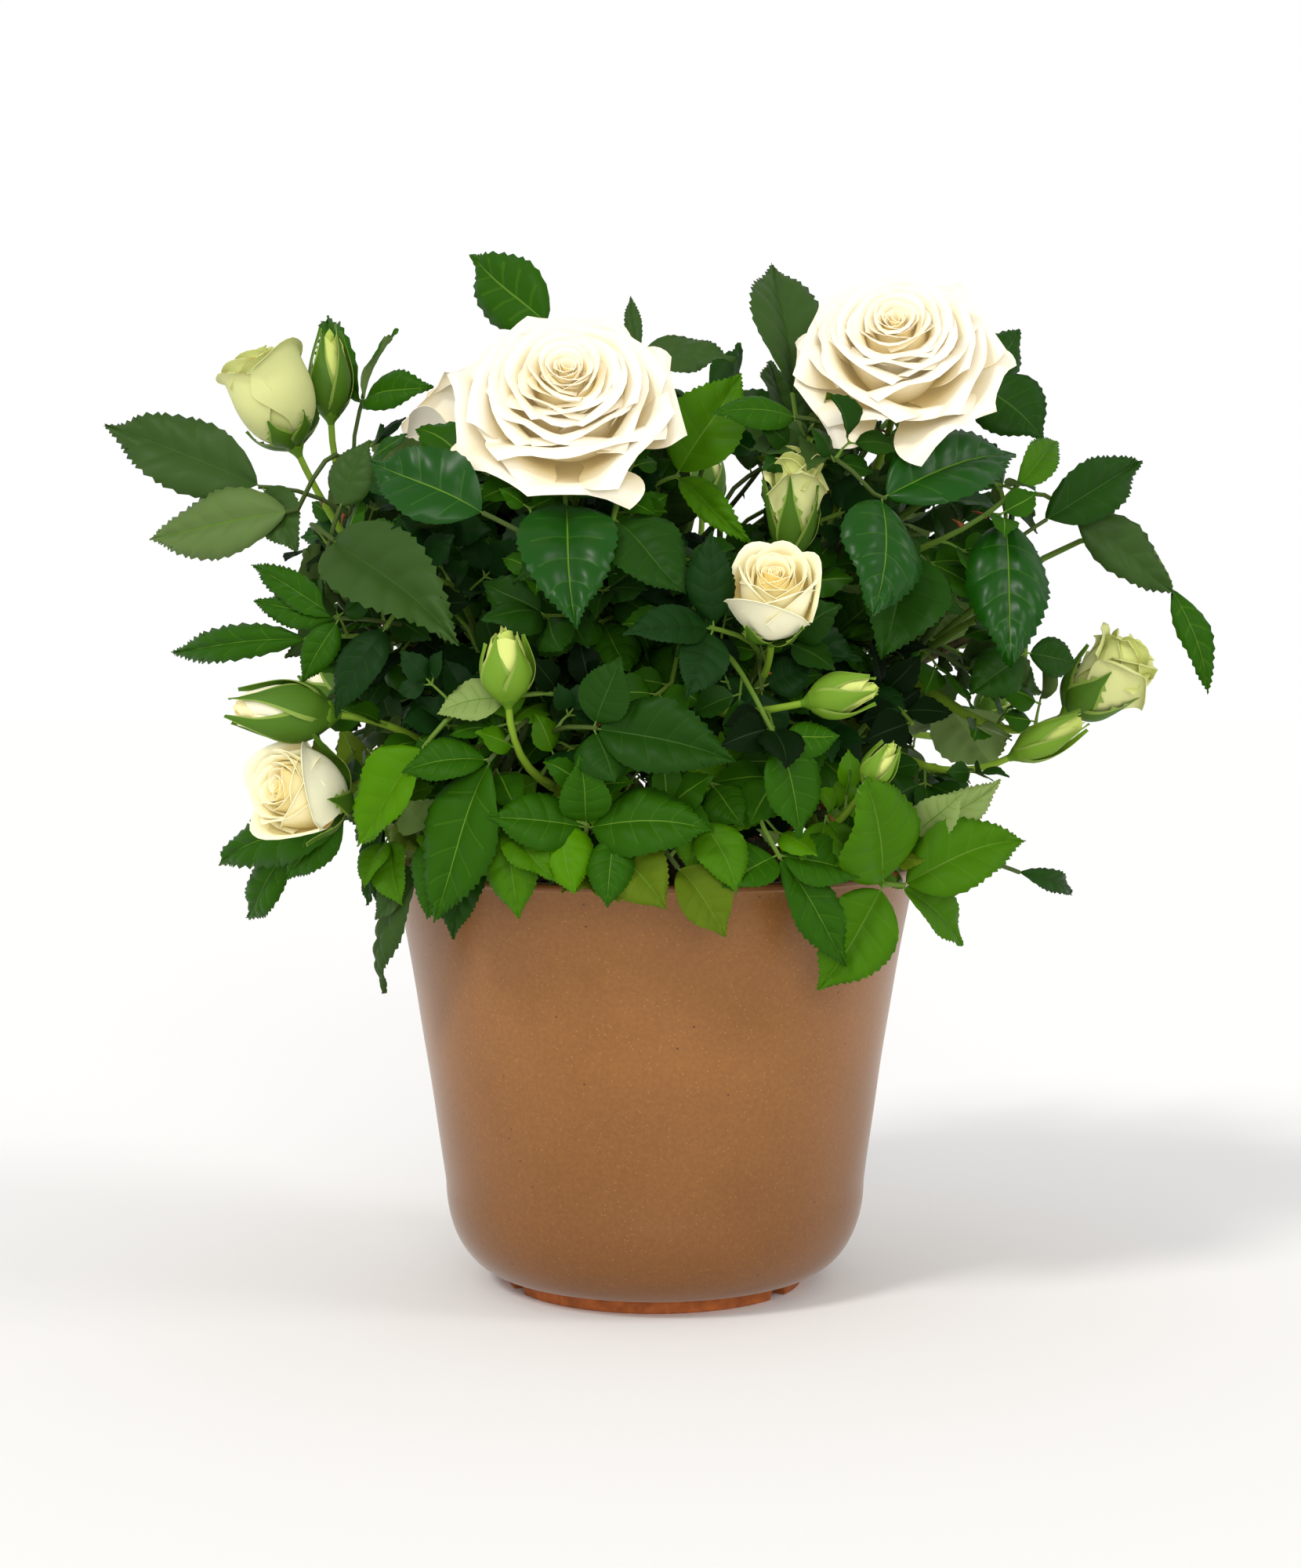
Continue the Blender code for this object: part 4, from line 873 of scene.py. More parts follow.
    def spray_grew(self, mass, target, outward, sizes, least):
        """Tries one spray of leaflets, and keeps it if enough of them have room."""
        swing = self.random.uniform(-SPRAY_SWING, SPRAY_SWING)
        droop = self.random.uniform(*SPRAY_DROOP)
        length = self.random.uniform(*sizes)
        rolls = [self.random.uniform(-SPRAY_ROLL, SPRAY_ROLL) for leaflet in SPRAY_LEAFLETS]
        around = outward.cross(Vector((0, 0, 1))).normalized()
        arrival = (outward + around * swing - Vector((0, 0, droop))).normalized()
        node = target - arrival * length * SPRAY_NODE_AT
        end = node + arrival * TWIG_OVERRUN
        rachis = length * SPRAY_PAIR_GAP + TWIG_OVERRUN * 2
        before = len(self.solids)
        if in_sky(node) or not self.twig_to(mass, end, arrival, TWIG_RADIUS, rachis):
            return False
        grown = self.add_leaflets(mass, node, arrival, length, rolls)
        if grown >= least:
            return True
        del self.solids[before:]
        del self.twigs[mass][-1]
        del self.leaves[mass][len(self.leaves[mass]) - grown :]
        return False


# The looks start here: the camera, the surround's light, and the floor's half width in metres
CAMERA_ACROSS = -1.2 * MM
CAMERA_LENS = 59.0
CAMERA_PITCH = math.radians(2.93)
CAMERA_SENSOR = 36
SURROUND_LIGHT = 0.64
FLOOR_HALF = 6

# Each light's turn, tilt, softness, strength and colour
LIGHTS = {
    "key": (-42, 42, 12, 1.10, (1, 0.985, 0.95)),
    "front_fill": (6, 14, 30, 1.02, (1, 0.99, 0.97)),
    "side_fill": (72, 30, 20, 0.5, (1, 0.99, 0.97)),
}

# The angles beyond which an edge is drawn sharp, in degrees
LEAF_CREASE = 75
PETAL_CREASE = 80
TWIG_CREASE = 60
GREEN_CREASE = 70
SOIL_CREASE = 70
POT_CREASE = 50

# Nothing is divided by a length less than this
LEAST_LENGTH = 1e-12


def smooth(value):
    """A smooth step from 0 to 1."""
    value = np.clip(value, 0, 1)
    return value * value * (3 - 2 * value)


def srgb(red, green, blue):
    """A linear colour from display values of 0 to 255."""

    def linear(value):
        """One channel's linear value."""
        value /= 255
        return value / 12.92 if value <= 0.04045 else ((value + 0.055) / 1.055) ** 2.4

    return linear(red), linear(green), linear(blue)


def plain(name, colour, roughness, **sockets):
    """A Principled material of one base colour."""
    made = bpy.data.materials.new(name)
    made.use_nodes = True
    shader = made.node_tree.nodes["Principled BSDF"]
    shader.inputs["Base Color"].default_value = (*srgb(*colour), 1)
    shader.inputs["Roughness"].default_value = roughness
    for socket, value in sockets.items():
        shader.inputs[socket.replace("_", " ")].default_value = value
    return made


def tube_rings(line, radii, sides):
    """Rings of points round a line, each square to it and turned no more than it must be."""
    tangents = np.gradient(line, axis=0)
    tangents /= np.maximum(np.linalg.norm(tangents, axis=1, keepdims=True), LEAST_LENGTH)
    across = Vector(tangents[0]).orthogonal().normalized()
    angles = np.arange(sides) * 2 * math.pi / sides
    rings = []
    for point, tangent, radius in zip(line, tangents, radii):
        forward = Vector(tangent)
        across = (across - forward * across.dot(forward)).normalized()
        other = forward.cross(across)
        circle = np.outer(np.cos(angles), across) + np.outer(np.sin(angles), other)
        rings.append(point + circle * radius)
    return np.array(rings)


class Heap:
    """Many small closed surfaces that become one mesh, with a material slot for each face."""

    def __init__(self):
        """An empty heap."""
        self.points = []
        self.quads = []
        self.quad_slots = []
        self.triangles = []
        self.triangle_slots = []
        self.count = 0

    def add(self, points, quads, quad_slots, triangles=None, triangle_slot=0):
        """Adds points and the faces between them."""
        self.points.append(points)
        self.quads.append(quads + self.count)
        self.quad_slots.append(np.broadcast_to(quad_slots, len(quads)))
        if triangles is not None:
            self.triangles.append(triangles + self.count)
            self.triangle_slots.append(np.full(len(triangles), triangle_slot))
        self.count += len(points)

    def shell(self, grid, thickness, slots, under_slot, facing=None, rim_slots=None):
        """A thin closed shell: a grid of points, and its offset away from the way it faces."""
        rows, columns = grid.shape[:2]
        if facing is None:
            facing = np.cross(np.gradient(grid, axis=0), np.gradient(grid, axis=1))
            facing /= np.maximum(np.linalg.norm(facing, axis=2, keepdims=True), LEAST_LENGTH)
        under = grid - facing * thickness[..., None]
        points = np.concatenate([grid.reshape(-1, 3), under.reshape(-1, 3)])
        index = np.arange(rows * columns).reshape(rows, columns)
        corners = (index[:-1, :-1], index[1:, :-1], index[1:, 1:], index[:-1, 1:])
        top = np.stack(corners, -1).reshape(-1, 4)
        bottom = top[:, [0, 3, 2, 1]] + rows * columns
        loop = np.concatenate([index[:, 0], index[-1, 1:], index[-2::-1, -1], index[0, -2:0:-1]])
        onward = np.roll(loop, -1)
        rim = np.stack([onward, loop, loop + rows * columns, onward + rows * columns], -1)
        top_slots = np.broadcast_to(slots, (rows - 1, columns - 1)).reshape(-1)
        under_slots = np.full(len(bottom), under_slot)
        if rim_slots is None:
            rim_slots = np.full(len(rim), top_slots[0])
        faces = np.concatenate([top, bottom, rim])
        self.add(points, faces, np.concatenate([top_slots, under_slots, rim_slots]))

    def tube(self, path, radii, sides, slot):
        """A closed round tube along a path, with a radius at each of its points."""
        line = np.asarray([tuple(point) for point in path], float)
        self.rings(tube_rings(line, np.broadcast_to(radii, len(line)), sides), slot)

    def rings(self, rings, slot):
        """A closed skin over rings of points, with a cap on each end."""
        count, sides = rings.shape[:2]
        index = np.arange(count * sides).reshape(count, sides)
        onward = np.roll(index, -1, axis=1)
        quads = np.stack([index[:-1], onward[:-1], onward[1:], index[1:]], -1).reshape(-1, 4)
        ends = np.array([rings[0].mean(axis=0), rings[-1].mean(axis=0)])
        first, last = count * sides, count * sides + 1
        low = np.stack([onward[0], index[0], np.full(sides, first)], -1)
        high = np.stack([index[-1], onward[-1], np.full(sides, last)], -1)
        points = np.concatenate([rings.reshape(-1, 3), ends])
        self.add(points, quads, slot, np.concatenate([low, high]), slot)

    def make(self, name, materials, slot, nodes, sharp=None):
        """The heap as one object that rides on the body and stands for CAD nodes."""
        points = np.concatenate(self.points).astype(np.float32)
        quads = np.concatenate(self.quads)
        triangles = np.concatenate(self.triangles) if self.triangles else np.zeros((0, 3), int)
        loops = np.concatenate([quads.ravel(), triangles.ravel()]).astype(np.int32)
        starts = np.concatenate(
            [np.arange(len(quads)) * 4, quads.size + np.arange(len(triangles)) * 3]
        ).astype(np.int32)
        slots = np.concatenate([*self.quad_slots, *self.triangle_slots]).astype(np.int32)
        mesh = bpy.data.meshes.new(name)
        mesh.vertices.add(len(points))
        mesh.vertices.foreach_set("co", points.ravel())
        mesh.loops.add(len(loops))
        mesh.loops.foreach_set("vertex_index", loops)
        mesh.polygons.add(len(starts))
        mesh.polygons.foreach_set("loop_start", starts)
        mesh.polygons.foreach_set("material_index", slots)
        mesh.update(calc_edges=True)
        mesh.shade_smooth()
        if sharp:
            mesh.set_sharp_from_angle(angle=math.radians(sharp))
        for finish in materials:
            mesh.materials.append(finish)
        piece = bpy.data.objects.new(name, mesh)
        bpy.context.scene.collection.objects.link(piece)
        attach(piece, "root")
        if nodes:
            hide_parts(*nodes)


# Leaflets

LEAF_SKIN = 0.32 * MM
LEAF_SKEW = 0.17
LEAF_STALK = 1.6 * MM
LEAF_STALK_RADII = (0.42 * MM, 0.26 * MM)
SIDE_STALK_RADII = (0.7 * MM, 0.45 * MM, 0.38 * MM)

# A blade's outline: how far up it is widest, how full it is, how it tapers over its length and from
# LEAF_TIP_FROM on, its width for its solid's and its least width
LEAF_BELLY = 0.8
LEAF_FULLNESS = 0.82
LEAF_TAPER = 0.24
LEAF_TIP_TAPER = 0.30
LEAF_TIP_FROM = 0.72
LEAF_WIDENING = 1.04
LEAF_LEAST = 0.02

# Teeth: their size, and more of it where rows are few, how far they stand out, in and forward
TOOTH_SIZE = 0.016
TOOTH_ROWS = 0.10
TOOTH_OUT = 0.9
TOOTH_IN = 0.25
TOOTH_FORWARD = 0.8

# The raised cells between veins: where a vein lies, how flat the cells are on top, how deep the
# midrib lies between them, the waves along an edge, and where a twist starts
CELL_FROM = 0.035
CELL_FLATNESS = 0.55
RIB_DEPTH = 0.30
EDGE_WAVES = 13
TWIST_FROM = 0.35

# How leaflets differ: the least and most of each bend, or the values it is picked from
LEAF_ARCHES = (0.04, 0.13)
LEAF_FOLDS = (0.02, 0.30)
LEAF_LOPSIDED = (-0.06, 0.06)
LEAF_CURLS = (-0.26, 0.02)
LEAF_DROOPS = (0, 0.03, 0.08)
LEAF_BULGES = (0.022, 0.036)
LEAF_WAVES = (0.008, 0.036)
LEAF_SWAYS = (-0.07, 0.07)
LEAF_TWISTS = (-0.45, 0.45)

# How finely a leaflet is made: its side veins, the rows from one vein to the next as shares of that
# gap, the first of them the vein itself, and the columns from the midrib to the edge
FINE = (6, (0, 0.07, 0.28, 0.48, 0.68, 0.86), (0.018, 0.21, 0.45, 0.74, 1.0))
MEDIUM = (6, (0, 0.15, 0.43, 0.71), (0.026, 0.33, 0.7, 1.0))
COARSE = (5, (0, 0.33, 0.66), (0.036, 0.5, 1.0))
TINY = (4, (0, 0.33, 0.66), (0.042, 1.0))

# Leaflets with more rows than this from vein to vein have the first in the vein's own colour
VEINS_PAST_ROWS = 3


def add_leaflet(heap, base, tip, normal, width, tone, detail, chance):
    """One leaflet: a toothed blade that bulges between its side veins, with a pale midrib."""
    veins, gaps, half_columns = detail
    rows = veins * len(gaps)
    along = (tip - base).normalized()
    start = base + along * LEAF_STALK
    length = (tip - start).length
    side = normal.cross(along)
    half_columns = np.array(half_columns)
    columns = np.concatenate([-half_columns[::-1], half_columns])
    sides = np.sign(columns)[None, :]
    edge = np.abs(columns)[None, :]

    # The outline: share is the place along the midrib, and reach the one that it meets at the edge
    share = np.array([(vein + gap) / veins for vein in range(veins) for gap in gaps] + [1.0])[:, None]
    reach = share + LEAF_SKEW * edge * np.sin(math.pi * share)
    outline = np.sin(math.pi * np.clip(reach, 0, 1) ** LEAF_BELLY) ** LEAF_FULLNESS
    near_tip = smooth((reach - LEAF_TIP_FROM) / (1 - LEAF_TIP_FROM))
    outline = outline * (1 - LEAF_TAPER * reach**3 - LEAF_TIP_TAPER * near_tip) * LEAF_WIDENING
    outline = np.maximum(outline, LEAF_LEAST)
    teeth = length * (TOOTH_SIZE + TOOTH_ROWS / rows)
    odd = (np.arange(rows + 1) % 2)[:, None]
    at_edge = (edge > 0.99) * np.sin(math.pi * share) ** 0.4
    tooth = teeth * at_edge * (odd * TOOTH_OUT - TOOTH_IN)
    forward = length * reach + teeth * TOOTH_FORWARD * at_edge * odd
    sideways = sides * edge * outline * width / 2 + sides * tooth

    # The relief: the bends of the whole blade, and the cells between its veins
    arch = chance.uniform(*LEAF_ARCHES)
    fold = chance.uniform(*LEAF_FOLDS)
    lopsided = chance.uniform(*LEAF_LOPSIDED)
    curl = chance.uniform(*LEAF_CURLS)
    droop = chance.choice(LEAF_DROOPS)
    bulge = chance.uniform(*LEAF_BULGES)
    wave = chance.uniform(*LEAF_WAVES)
    sway = chance.uniform(*LEAF_SWAYS)
    twist = chance.uniform(*LEAF_TWISTS)
    phase = chance.uniform(0, TURN)
    quilt = np.abs(np.sin(math.pi * (share * veins - CELL_FROM))) ** CELL_FLATNESS
    quilt = quilt * np.sin(math.pi * edge**0.8)
    lift = arch * length * 4 * reach * (1 - reach) * (1 - 0.5 * reach)
    lift = lift - droop * length * np.clip(reach, 0, 1.2) ** 3
    lift = lift + (fold + lopsided * sides) * width * edge * outline + curl * width * edge**3 * outline
    lift = lift + bulge * length * (quilt - RIB_DEPTH * (edge < 0.1)) * np.sin(math.pi * share) ** 0.5
    lift = lift + wave * length * edge**2 * np.sin(EDGE_WAVES * share + phase + sides)
    sideways = sideways + sway * length * np.sin(math.pi * reach) * reach

    # The blade in its place, twisted about its length
    angle = twist * (reach - TWIST_FROM)
    turned_sideways = sideways * np.cos(angle) - lift * np.sin(angle)
    turned_lift = sideways * np.sin(angle) + lift * np.cos(angle)
    grid = (
        np.array(start)
        + forward[..., None] * np.array(along)
        + turned_sideways[..., None] * np.array(side)
        + turned_lift[..., None] * np.array(normal)
    )
    thickness = LEAF_SKIN * (1 - 0.5 * edge) * np.ones_like(share)
    upward = np.cos(angle)[..., None] * np.array(normal) - np.sin(angle)[..., None] * np.array(side)

    # The colours
    middle = len(half_columns) - 1
    slots = np.full((rows, len(columns) - 1), TONE_NAMES.index(tone))
    if len(gaps) > VEINS_PAST_ROWS:
        slots[len(gaps) :: len(gaps), 1:-1] = VEIN_SLOT + TONE_NAMES.index(tone)
    dark = tone in DARK_TONES
    slots[:, middle] = RIB_SLOT + (2 if tone in DARKEST_TONES else dark)
    heap.shell(grid, thickness, slots, UNDER_SLOT + dark, upward)


def leaf_materials():
    """A material for each tone, its side veins, then the midribs and the undersides."""
    made = []
    for name, (colour, roughness, shine) in TONES.items():
        made.append(plain(f"leaf_{name}", colour, roughness, Specular_IOR_Level=shine))
    for name, (colour, roughness, shine) in TONES.items():
        pale = RIB_COLOURS["rib_dark" if name in DARK_TONES else "rib"]
        mixed = [own + (other - own) * VEIN_PALENESS for own, other in zip(colour, pale)]
        made.append(plain(f"vein_{name}", mixed, roughness + 0.06, Specular_IOR_Level=shine))
    for name, colour in {**RIB_COLOURS, **UNDER_COLOURS}.items():
        made.append(plain(f"leaf_{name}", colour, 0.55, Specular_IOR_Level=0.14))
    return made


# Roses

# A petal's measures from the heart (0) to the outermost (1), as shares of the flower's radius or
# height, and its lean away from the axis in degrees at four places from base to rim
ROSE_PLANS = {
    "open": {
        "count": 40,
        "aspect": 0,
        "at": (0, 0.12, 0.3, 0.5, 0.68, 0.78, 0.88, 1),
        "base_radius": (0.03, 0.04, 0.06, 0.09, 0.12, 0.13, 0.14, 0.15),
        "base_height": (0.20, 0.19, 0.17, 0.14, 0.11, 0.09, 0.06, 0.02),
        "length": (0.86, 0.90, 0.93, 0.95, 0.97, 0.98, 0.98, 0.98),
        "half_width": (0.22, 0.33, 0.48, 0.62, 0.74, 0.80, 0.84, 0.86),
        "lean": (
            (3, 8, 24, 42, 54, 60, 66, 74),
            (1, 4, 12, 22, 31, 36, 44, 54),
            (-3, -2, 0, 6, 13, 20, 32, 48),
            (-6, -4, 2, 12, 24, 34, 46, 60),
        ),
        "cup": (1.0, 0.97, 0.95, 0.93, 0.88, 0.78, 0.60, 0.40),
        "roll": (20, 45, 75, 95, 105, 105, 95, 70),
        "side_roll": (0, 0, 3, 8, 14, 24, 38, 50),
        "point": (0.0, 0.0, 0.0, 0.01, 0.02, 0.04, 0.07, 0.10),
        "round": (0.16, 0.16, 0.15, 0.15, 0.17, 0.20, 0.24, 0.28),
        "roll_from": 0.82,
        "sag": (14, 22),
        "rise": 0.12,
        "ruffle": 1,
    },
    "half": {
        "count": 27,
        "aspect": 0.64,
        "at": (0, 0.15, 0.35, 0.55, 0.75, 0.88, 1),
        "base_radius": (0.05, 0.06, 0.09, 0.12, 0.16, 0.18, 0.20),
        "base_height": (0.14, 0.13, 0.11, 0.09, 0.06, 0.04, 0.02),
        "length": (0.78, 0.82, 0.88, 0.94, 1.02, 1.08, 1.12),
        "half_width": (0.30, 0.42, 0.58, 0.72, 0.86, 0.92, 0.94),
        "lean": (
            (4, 12, 24, 36, 50, 60, 68),
            (1, 4, 10, 15, 18, 20, 22),
            (-4, -3, -1, 0, 0, 2, 6),
            (-6, -5, -3, -2, 2, 10, 22),
        ),
        "cup": (1.0, 0.98, 0.97, 0.95, 0.92, 0.88, 0.80),
        "roll": (15, 25, 40, 50, 60, 65, 60),
        "side_roll": (0, 0, 0, 0, 2, 6, 10),
        "point": (0.0, 0.0, 0.0, 0.0, 0.0, 0.0, 0.0),
        "round": (0.20, 0.22, 0.26, 0.32, 0.40, 0.46, 0.50),
        "roll_from": 0.90,
        "sag": (6, -4),
        "rise": 0,
        "ruffle": 0.8,
    },
    "tight": {
        "count": 22,
        "aspect": 0.48,
        "at": (0, 0.3, 0.6, 0.85, 1),
        "base_radius": (0.06, 0.10, 0.16, 0.22, 0.26),
        "base_height": (0.12, 0.10, 0.07, 0.04, 0.02),
        "length": (0.80, 0.86, 0.92, 0.96, 0.98),
        "half_width": (0.40, 0.66, 0.95, 1.15, 1.22),
        "lean": (
            (6, 24, 46, 60, 70),
            (2, 10, 16, 18, 20),
            (-4, -4, -6, -6, -4),
            (-8, -10, -10, -4, 6),
        ),
        "cup": (1.0, 0.97, 0.94, 0.92, 0.90),
        "roll": (10, 30, 60, 80, 90),
        "side_roll": (0, 2, 5, 10, 14),
        "point": (0.0, 0.0, 0.0, 0.01, 0.01),
        "round": (0.14, 0.12, 0.12, 0.14, 0.16),
        "roll_from": 0.90,
        "sag": (0, 0),
        "rise": 0,
        "ruffle": 1,
    },
    "loose": {
        "count": 17,
        "aspect": 0.5,
        "at": (0, 0.3, 0.6, 0.85, 1),
        "base_radius": (0.06, 0.10, 0.16, 0.20, 0.22),
        "base_height": (0.12, 0.10, 0.07, 0.04, 0.02),
        "length": (0.86, 0.92, 0.94, 0.92, 0.88),
        "half_width": (0.40, 0.60, 0.78, 0.88, 0.90),
        "lean": (
            (6, 22, 42, 56, 66),
            (2, 6, 10, 14, 16),
            (-4, -4, -4, 0, 4),
            (-6, -2, 8, 24, 40),
        ),
        "cup": (1.0, 0.97, 0.94, 0.90, 0.86),
        "roll": (10, 50, 80, 100, 110),
        "side_roll": (0, 6, 14, 24, 34),
        "point": (0.0, 0.0, 0.04, 0.06, 0.08),
        "round": (0.14, 0.16, 0.22, 0.28, 0.32),
        "roll_from": 0.84,
        "sag": (0, 0),
        "rise": 0,
        "ruffle": 3.2,
    },
    "bud": {
        "count": 8,
        "aspect": 0.36,
        "at": (0, 0.5, 1),
        "base_radius": (0.10, 0.25, 0.40),
        "base_height": (0.10, 0.07, 0.04),
        "length": (0.84, 0.85, 0.83),
        "half_width": (0.8, 1.2, 1.5),
        "lean": ((14, 30, 42), (2, 6, 12), (-8, -12, -14), (-12, -18, -22)),
        "cup": (1.0, 0.97, 0.94),
        "roll": (5, 10, 16),
        "side_roll": (0, 2, 6),
        "point": (0.05, 0.05, 0.06),
        "round": (0.42, 0.45, 0.50),
        "roll_from": 0.90,
        "sag": (0, 0),
        "rise": 0,
        "ruffle": 1,
    },
}

# The rows and columns of a petal, those of open flowers behind the axis last
PETAL_GRIDS = {
    "open": (17, 12),
    "half": (14, 10),
    "tight": (14, 10),
    "loose": (14, 12),
    "bud": (12, 8),
    "far": (12, 8),
}
PETAL_SKIN = 0.35 * MM
PETAL_SHADES = 8

# How petals differ: the least and most of width, length, side roll, rim roll and ruffle, the lean in
# degrees, the notch in the rim, and how pointed it is
PETAL_WIDTHS = (0.93, 1.08)
PETAL_LENGTHS = (0.95, 1.04)
PETAL_SIDE_ROLLS = (0.7, 1.2)
PETAL_ROLLS = (0.75, 1.15)
PETAL_RUFFLES = (0.006, 0.022)
PETAL_LEANS = (-4, 4)
PETAL_NOTCHES = (-0.05, 0.05)
PETAL_POINTS = (0, 0.5, 1, 1.3)

# How a bloom's petals are spaced from the heart out, and how far they stray round it, in radians
PETAL_SPACING = 0.88
PETAL_STRAYS = (-0.12, 0.12)

# The share of a petal's lean that its sag adds at the lean's four places, and how far up those are
SAG_PARTS = (0.3, 0.7, 1, 1.2)
LEAN_PLACES = (0, 0.33, 0.68, 1.0)

# A faint painted glow on the deeper petal shades, which stands in for the little light that thin petals
# let through into a flower's depth
PAINTED_PETAL_GLOW = 0.12

# Petal colours from a flower's depth to its rims: the deeper ones are partly the petals' own warmer heart
# and partly painted warm shade in the folds
PETAL_COLOURS = {
    "ivory": ((255, 226, 138), (255, 247, 226)),
    "cream": ((255, 206, 80), (255, 250, 214)),
    "lime": ((184, 198, 72), (214, 218, 146)),
    "green": ((150, 182, 50), (206, 216, 120)),
}
RUST_SLOT = 4 * PETAL_SHADES
RUST_COLOUR = (186, 142, 84)


def lean_scale(plan, radius, height):
    """How much less the petals of a slim flower lean than its plan says."""
    return min(1.1, radius / height / plan["aspect"]) if plan["aspect"] else 1


def spoke(axes, azimuth):
    """The direction out from a flower's axis at an azimuth, and the one round the axis there."""
    across, other, axis = map(np.array, axes)
    out = across * math.cos(azimuth) + other * math.sin(azimuth)
    around = -across * math.sin(azimuth) + other * math.cos(azimuth)
    return out, around, axis


def wrapped(turn, width):
    """How far round and in each point of a petal lies, from the middle line's turn and width out."""
    half = turn.shape[1] // 2
    tangent = np.zeros_like(turn)
    inward = np.zeros_like(turn)
    for sign in (1, -1):
        for column in range(1, half + 1):
            now, before = half + sign * column, half + sign * (column - 1)
            mean = (turn[:, now] + turn[:, before]) / 2
            stride = width[:, now] - width[:, before]
            tangent[:, now] = tangent[:, before] + sign * stride * np.cos(mean)
            inward[:, now] = inward[:, before] + stride * np.sin(mean)
    return tangent, inward


def add_petal(heap, plan, share, foot, axes, azimuth, radius, height, shades, chance, grid, wear):
    """One petal: its middle line leans by the plan, its sides wrap the axis, and its rim rolls out."""
    rows, columns = grid
    radial, around, axis = spoke(axes, azimuth)

    def at(values):
        """The plan's value for this petal."""
        return float(np.interp(share, plan["at"], values))

    # The lean from base to rim, more or less where the flower's own tilt makes a petal hang or stand
    half_width = at(plan["half_width"]) * radius * chance.uniform(*PETAL_WIDTHS)
    jitter = chance.uniform(*PETAL_LEANS) * min(1, share * 2) * (0.4 if plan["count"] < 10 else 1)
    slim = lean_scale(plan, radius, height)
    lower = -radial[2]
    length = at(plan["length"]) * height * chance.uniform(*PETAL_LENGTHS)
    length = length * (1 + plan["rise"] * share * max(0, -lower))
    guard = smooth((share - 0.74) / 0.2)
    sag = (plan["sag"][0] * min(0, lower) - plan["sag"][1] * max(0, lower) * (1 - 1.1 * guard)) * share
    parts = zip(plan["lean"], SAG_PARTS)
    lean = [math.radians(at(values) * slim + jitter + sag * part) for values, part in parts]
    rise = np.linspace(0, 1, rows + 1)[:, None] ** 0.8
    aside = np.linspace(-1, 1, columns + 1)[None, :]
    edge = np.abs(aside)

    # The outline, and the middle line that follows the lean
    notch = chance.uniform(*PETAL_NOTCHES)
    tipped = chance.choice(PETAL_POINTS)
    reach = 1 - at(plan["round"]) * edge**2.2
    reach = reach + at(plan["point"]) * tipped * np.exp(-((aside / 0.16) ** 2))
    reach = reach + notch * aside
    risen = rise * reach
    angle = np.interp(risen, LEAN_PLACES, lean)
    middle = (angle[1:] + angle[:-1]) / 2
    step = np.diff(risen, axis=0) * length
    zero = np.zeros((1, columns + 1))
    out = at(plan["base_radius"]) * radius + np.concatenate([zero, np.cumsum(step * np.sin(middle), 0)])
    up = at(plan["base_height"]) * height + np.concatenate([zero, np.cumsum(step * np.cos(middle), 0)])

    # The wrap round the flower, and the rolls of sides and rim
    belly = smooth(risen / 0.62) * 0.72 + 0.28
    taper = 1 - 0.30 * smooth((risen - 0.62) / 0.42)
    wide = half_width * belly * taper
    curve = at(plan["cup"]) / np.maximum(out[:, columns // 2 : columns // 2 + 1], 1.1 * MM)
    side = math.radians(at(plan["side_roll"])) * chance.uniform(*PETAL_SIDE_ROLLS)
    side = side * min(1, max(0.3, 0.7 + 0.5 * lower))
    turn = curve * edge * wide - side * smooth((edge - 0.45) / 0.55) * smooth((risen - 0.30) / 0.5)
    tangent, inward = wrapped(turn, edge * wide)
    roll_share = np.clip((rise - plan["roll_from"]) / (1 - plan["roll_from"]), 0, 1)
    roll = math.radians(at(plan["roll"])) * chance.uniform(*PETAL_ROLLS) * roll_share**1.3
    roll = roll * (1 + 0.25 * np.sin(aside * 5 + chance.uniform(0, 6)))
    roll_middle = (roll[1:] + roll[:-1]) / 2
    back = np.concatenate([zero, np.cumsum(step * (np.cos(roll_middle) - 1), 0)])
    fall = np.concatenate([zero, np.cumsum(step * np.sin(roll_middle), 0)])
    ruffle = chance.uniform(*PETAL_RUFFLES) * radius * min(1, 0.3 + share) * plan["ruffle"]
    fall = fall + ruffle * rise**3 * np.sin(aside * chance.uniform(4, 8) + chance.uniform(0, 6))

    # The petal in its place
    normal = -np.cos(angle)[..., None] * radial + np.sin(angle)[..., None] * axis
    forward = np.sin(angle)[..., None] * radial + np.cos(angle)[..., None] * axis
    outside = -np.cos(turn)[..., None] * normal + (np.sign(aside) * np.sin(turn))[..., None] * around
    points = np.array(foot) + out[..., None] * radial + up[..., None] * axis
    points = points + tangent[..., None] * around + inward[..., None] * normal
    points = points + forward * back[..., None] + outside * fall[..., None]
    outward = np.maximum(rise * np.ones_like(aside), edge * np.ones_like(rise))
    thickness = PETAL_SKIN * (1 - 0.55 * outward)

    # The shades, deeper towards the base and in the inner petals, partly the petals' own warmer heart and
    # partly painted warm shade in the folds, and the browned rim
    face_rise = ((rise[1:] + rise[:-1]) / 2) * np.ones((1, columns))
    depth = np.clip(0.04 + (0.86 - 0.3 * share) * face_rise**1.7 + 0.42 * share, 0, 0.999)
    slots = shades + np.floor(depth * PETAL_SHADES).astype(int)
    outer = shades + int(min(PETAL_SHADES - 1, PETAL_SHADES * (0.35 + 0.6 * share)))
    rim_slots = np.full(2 * (rows + columns), shades + PETAL_SHADES - 1)
    for place_on_rim in range(rows, rows + columns):
        if chance.random() < wear * share:
            rim_slots[place_on_rim] = RUST_SLOT
    heap.shell(points, thickness, slots, outer, rim_slots=rim_slots)


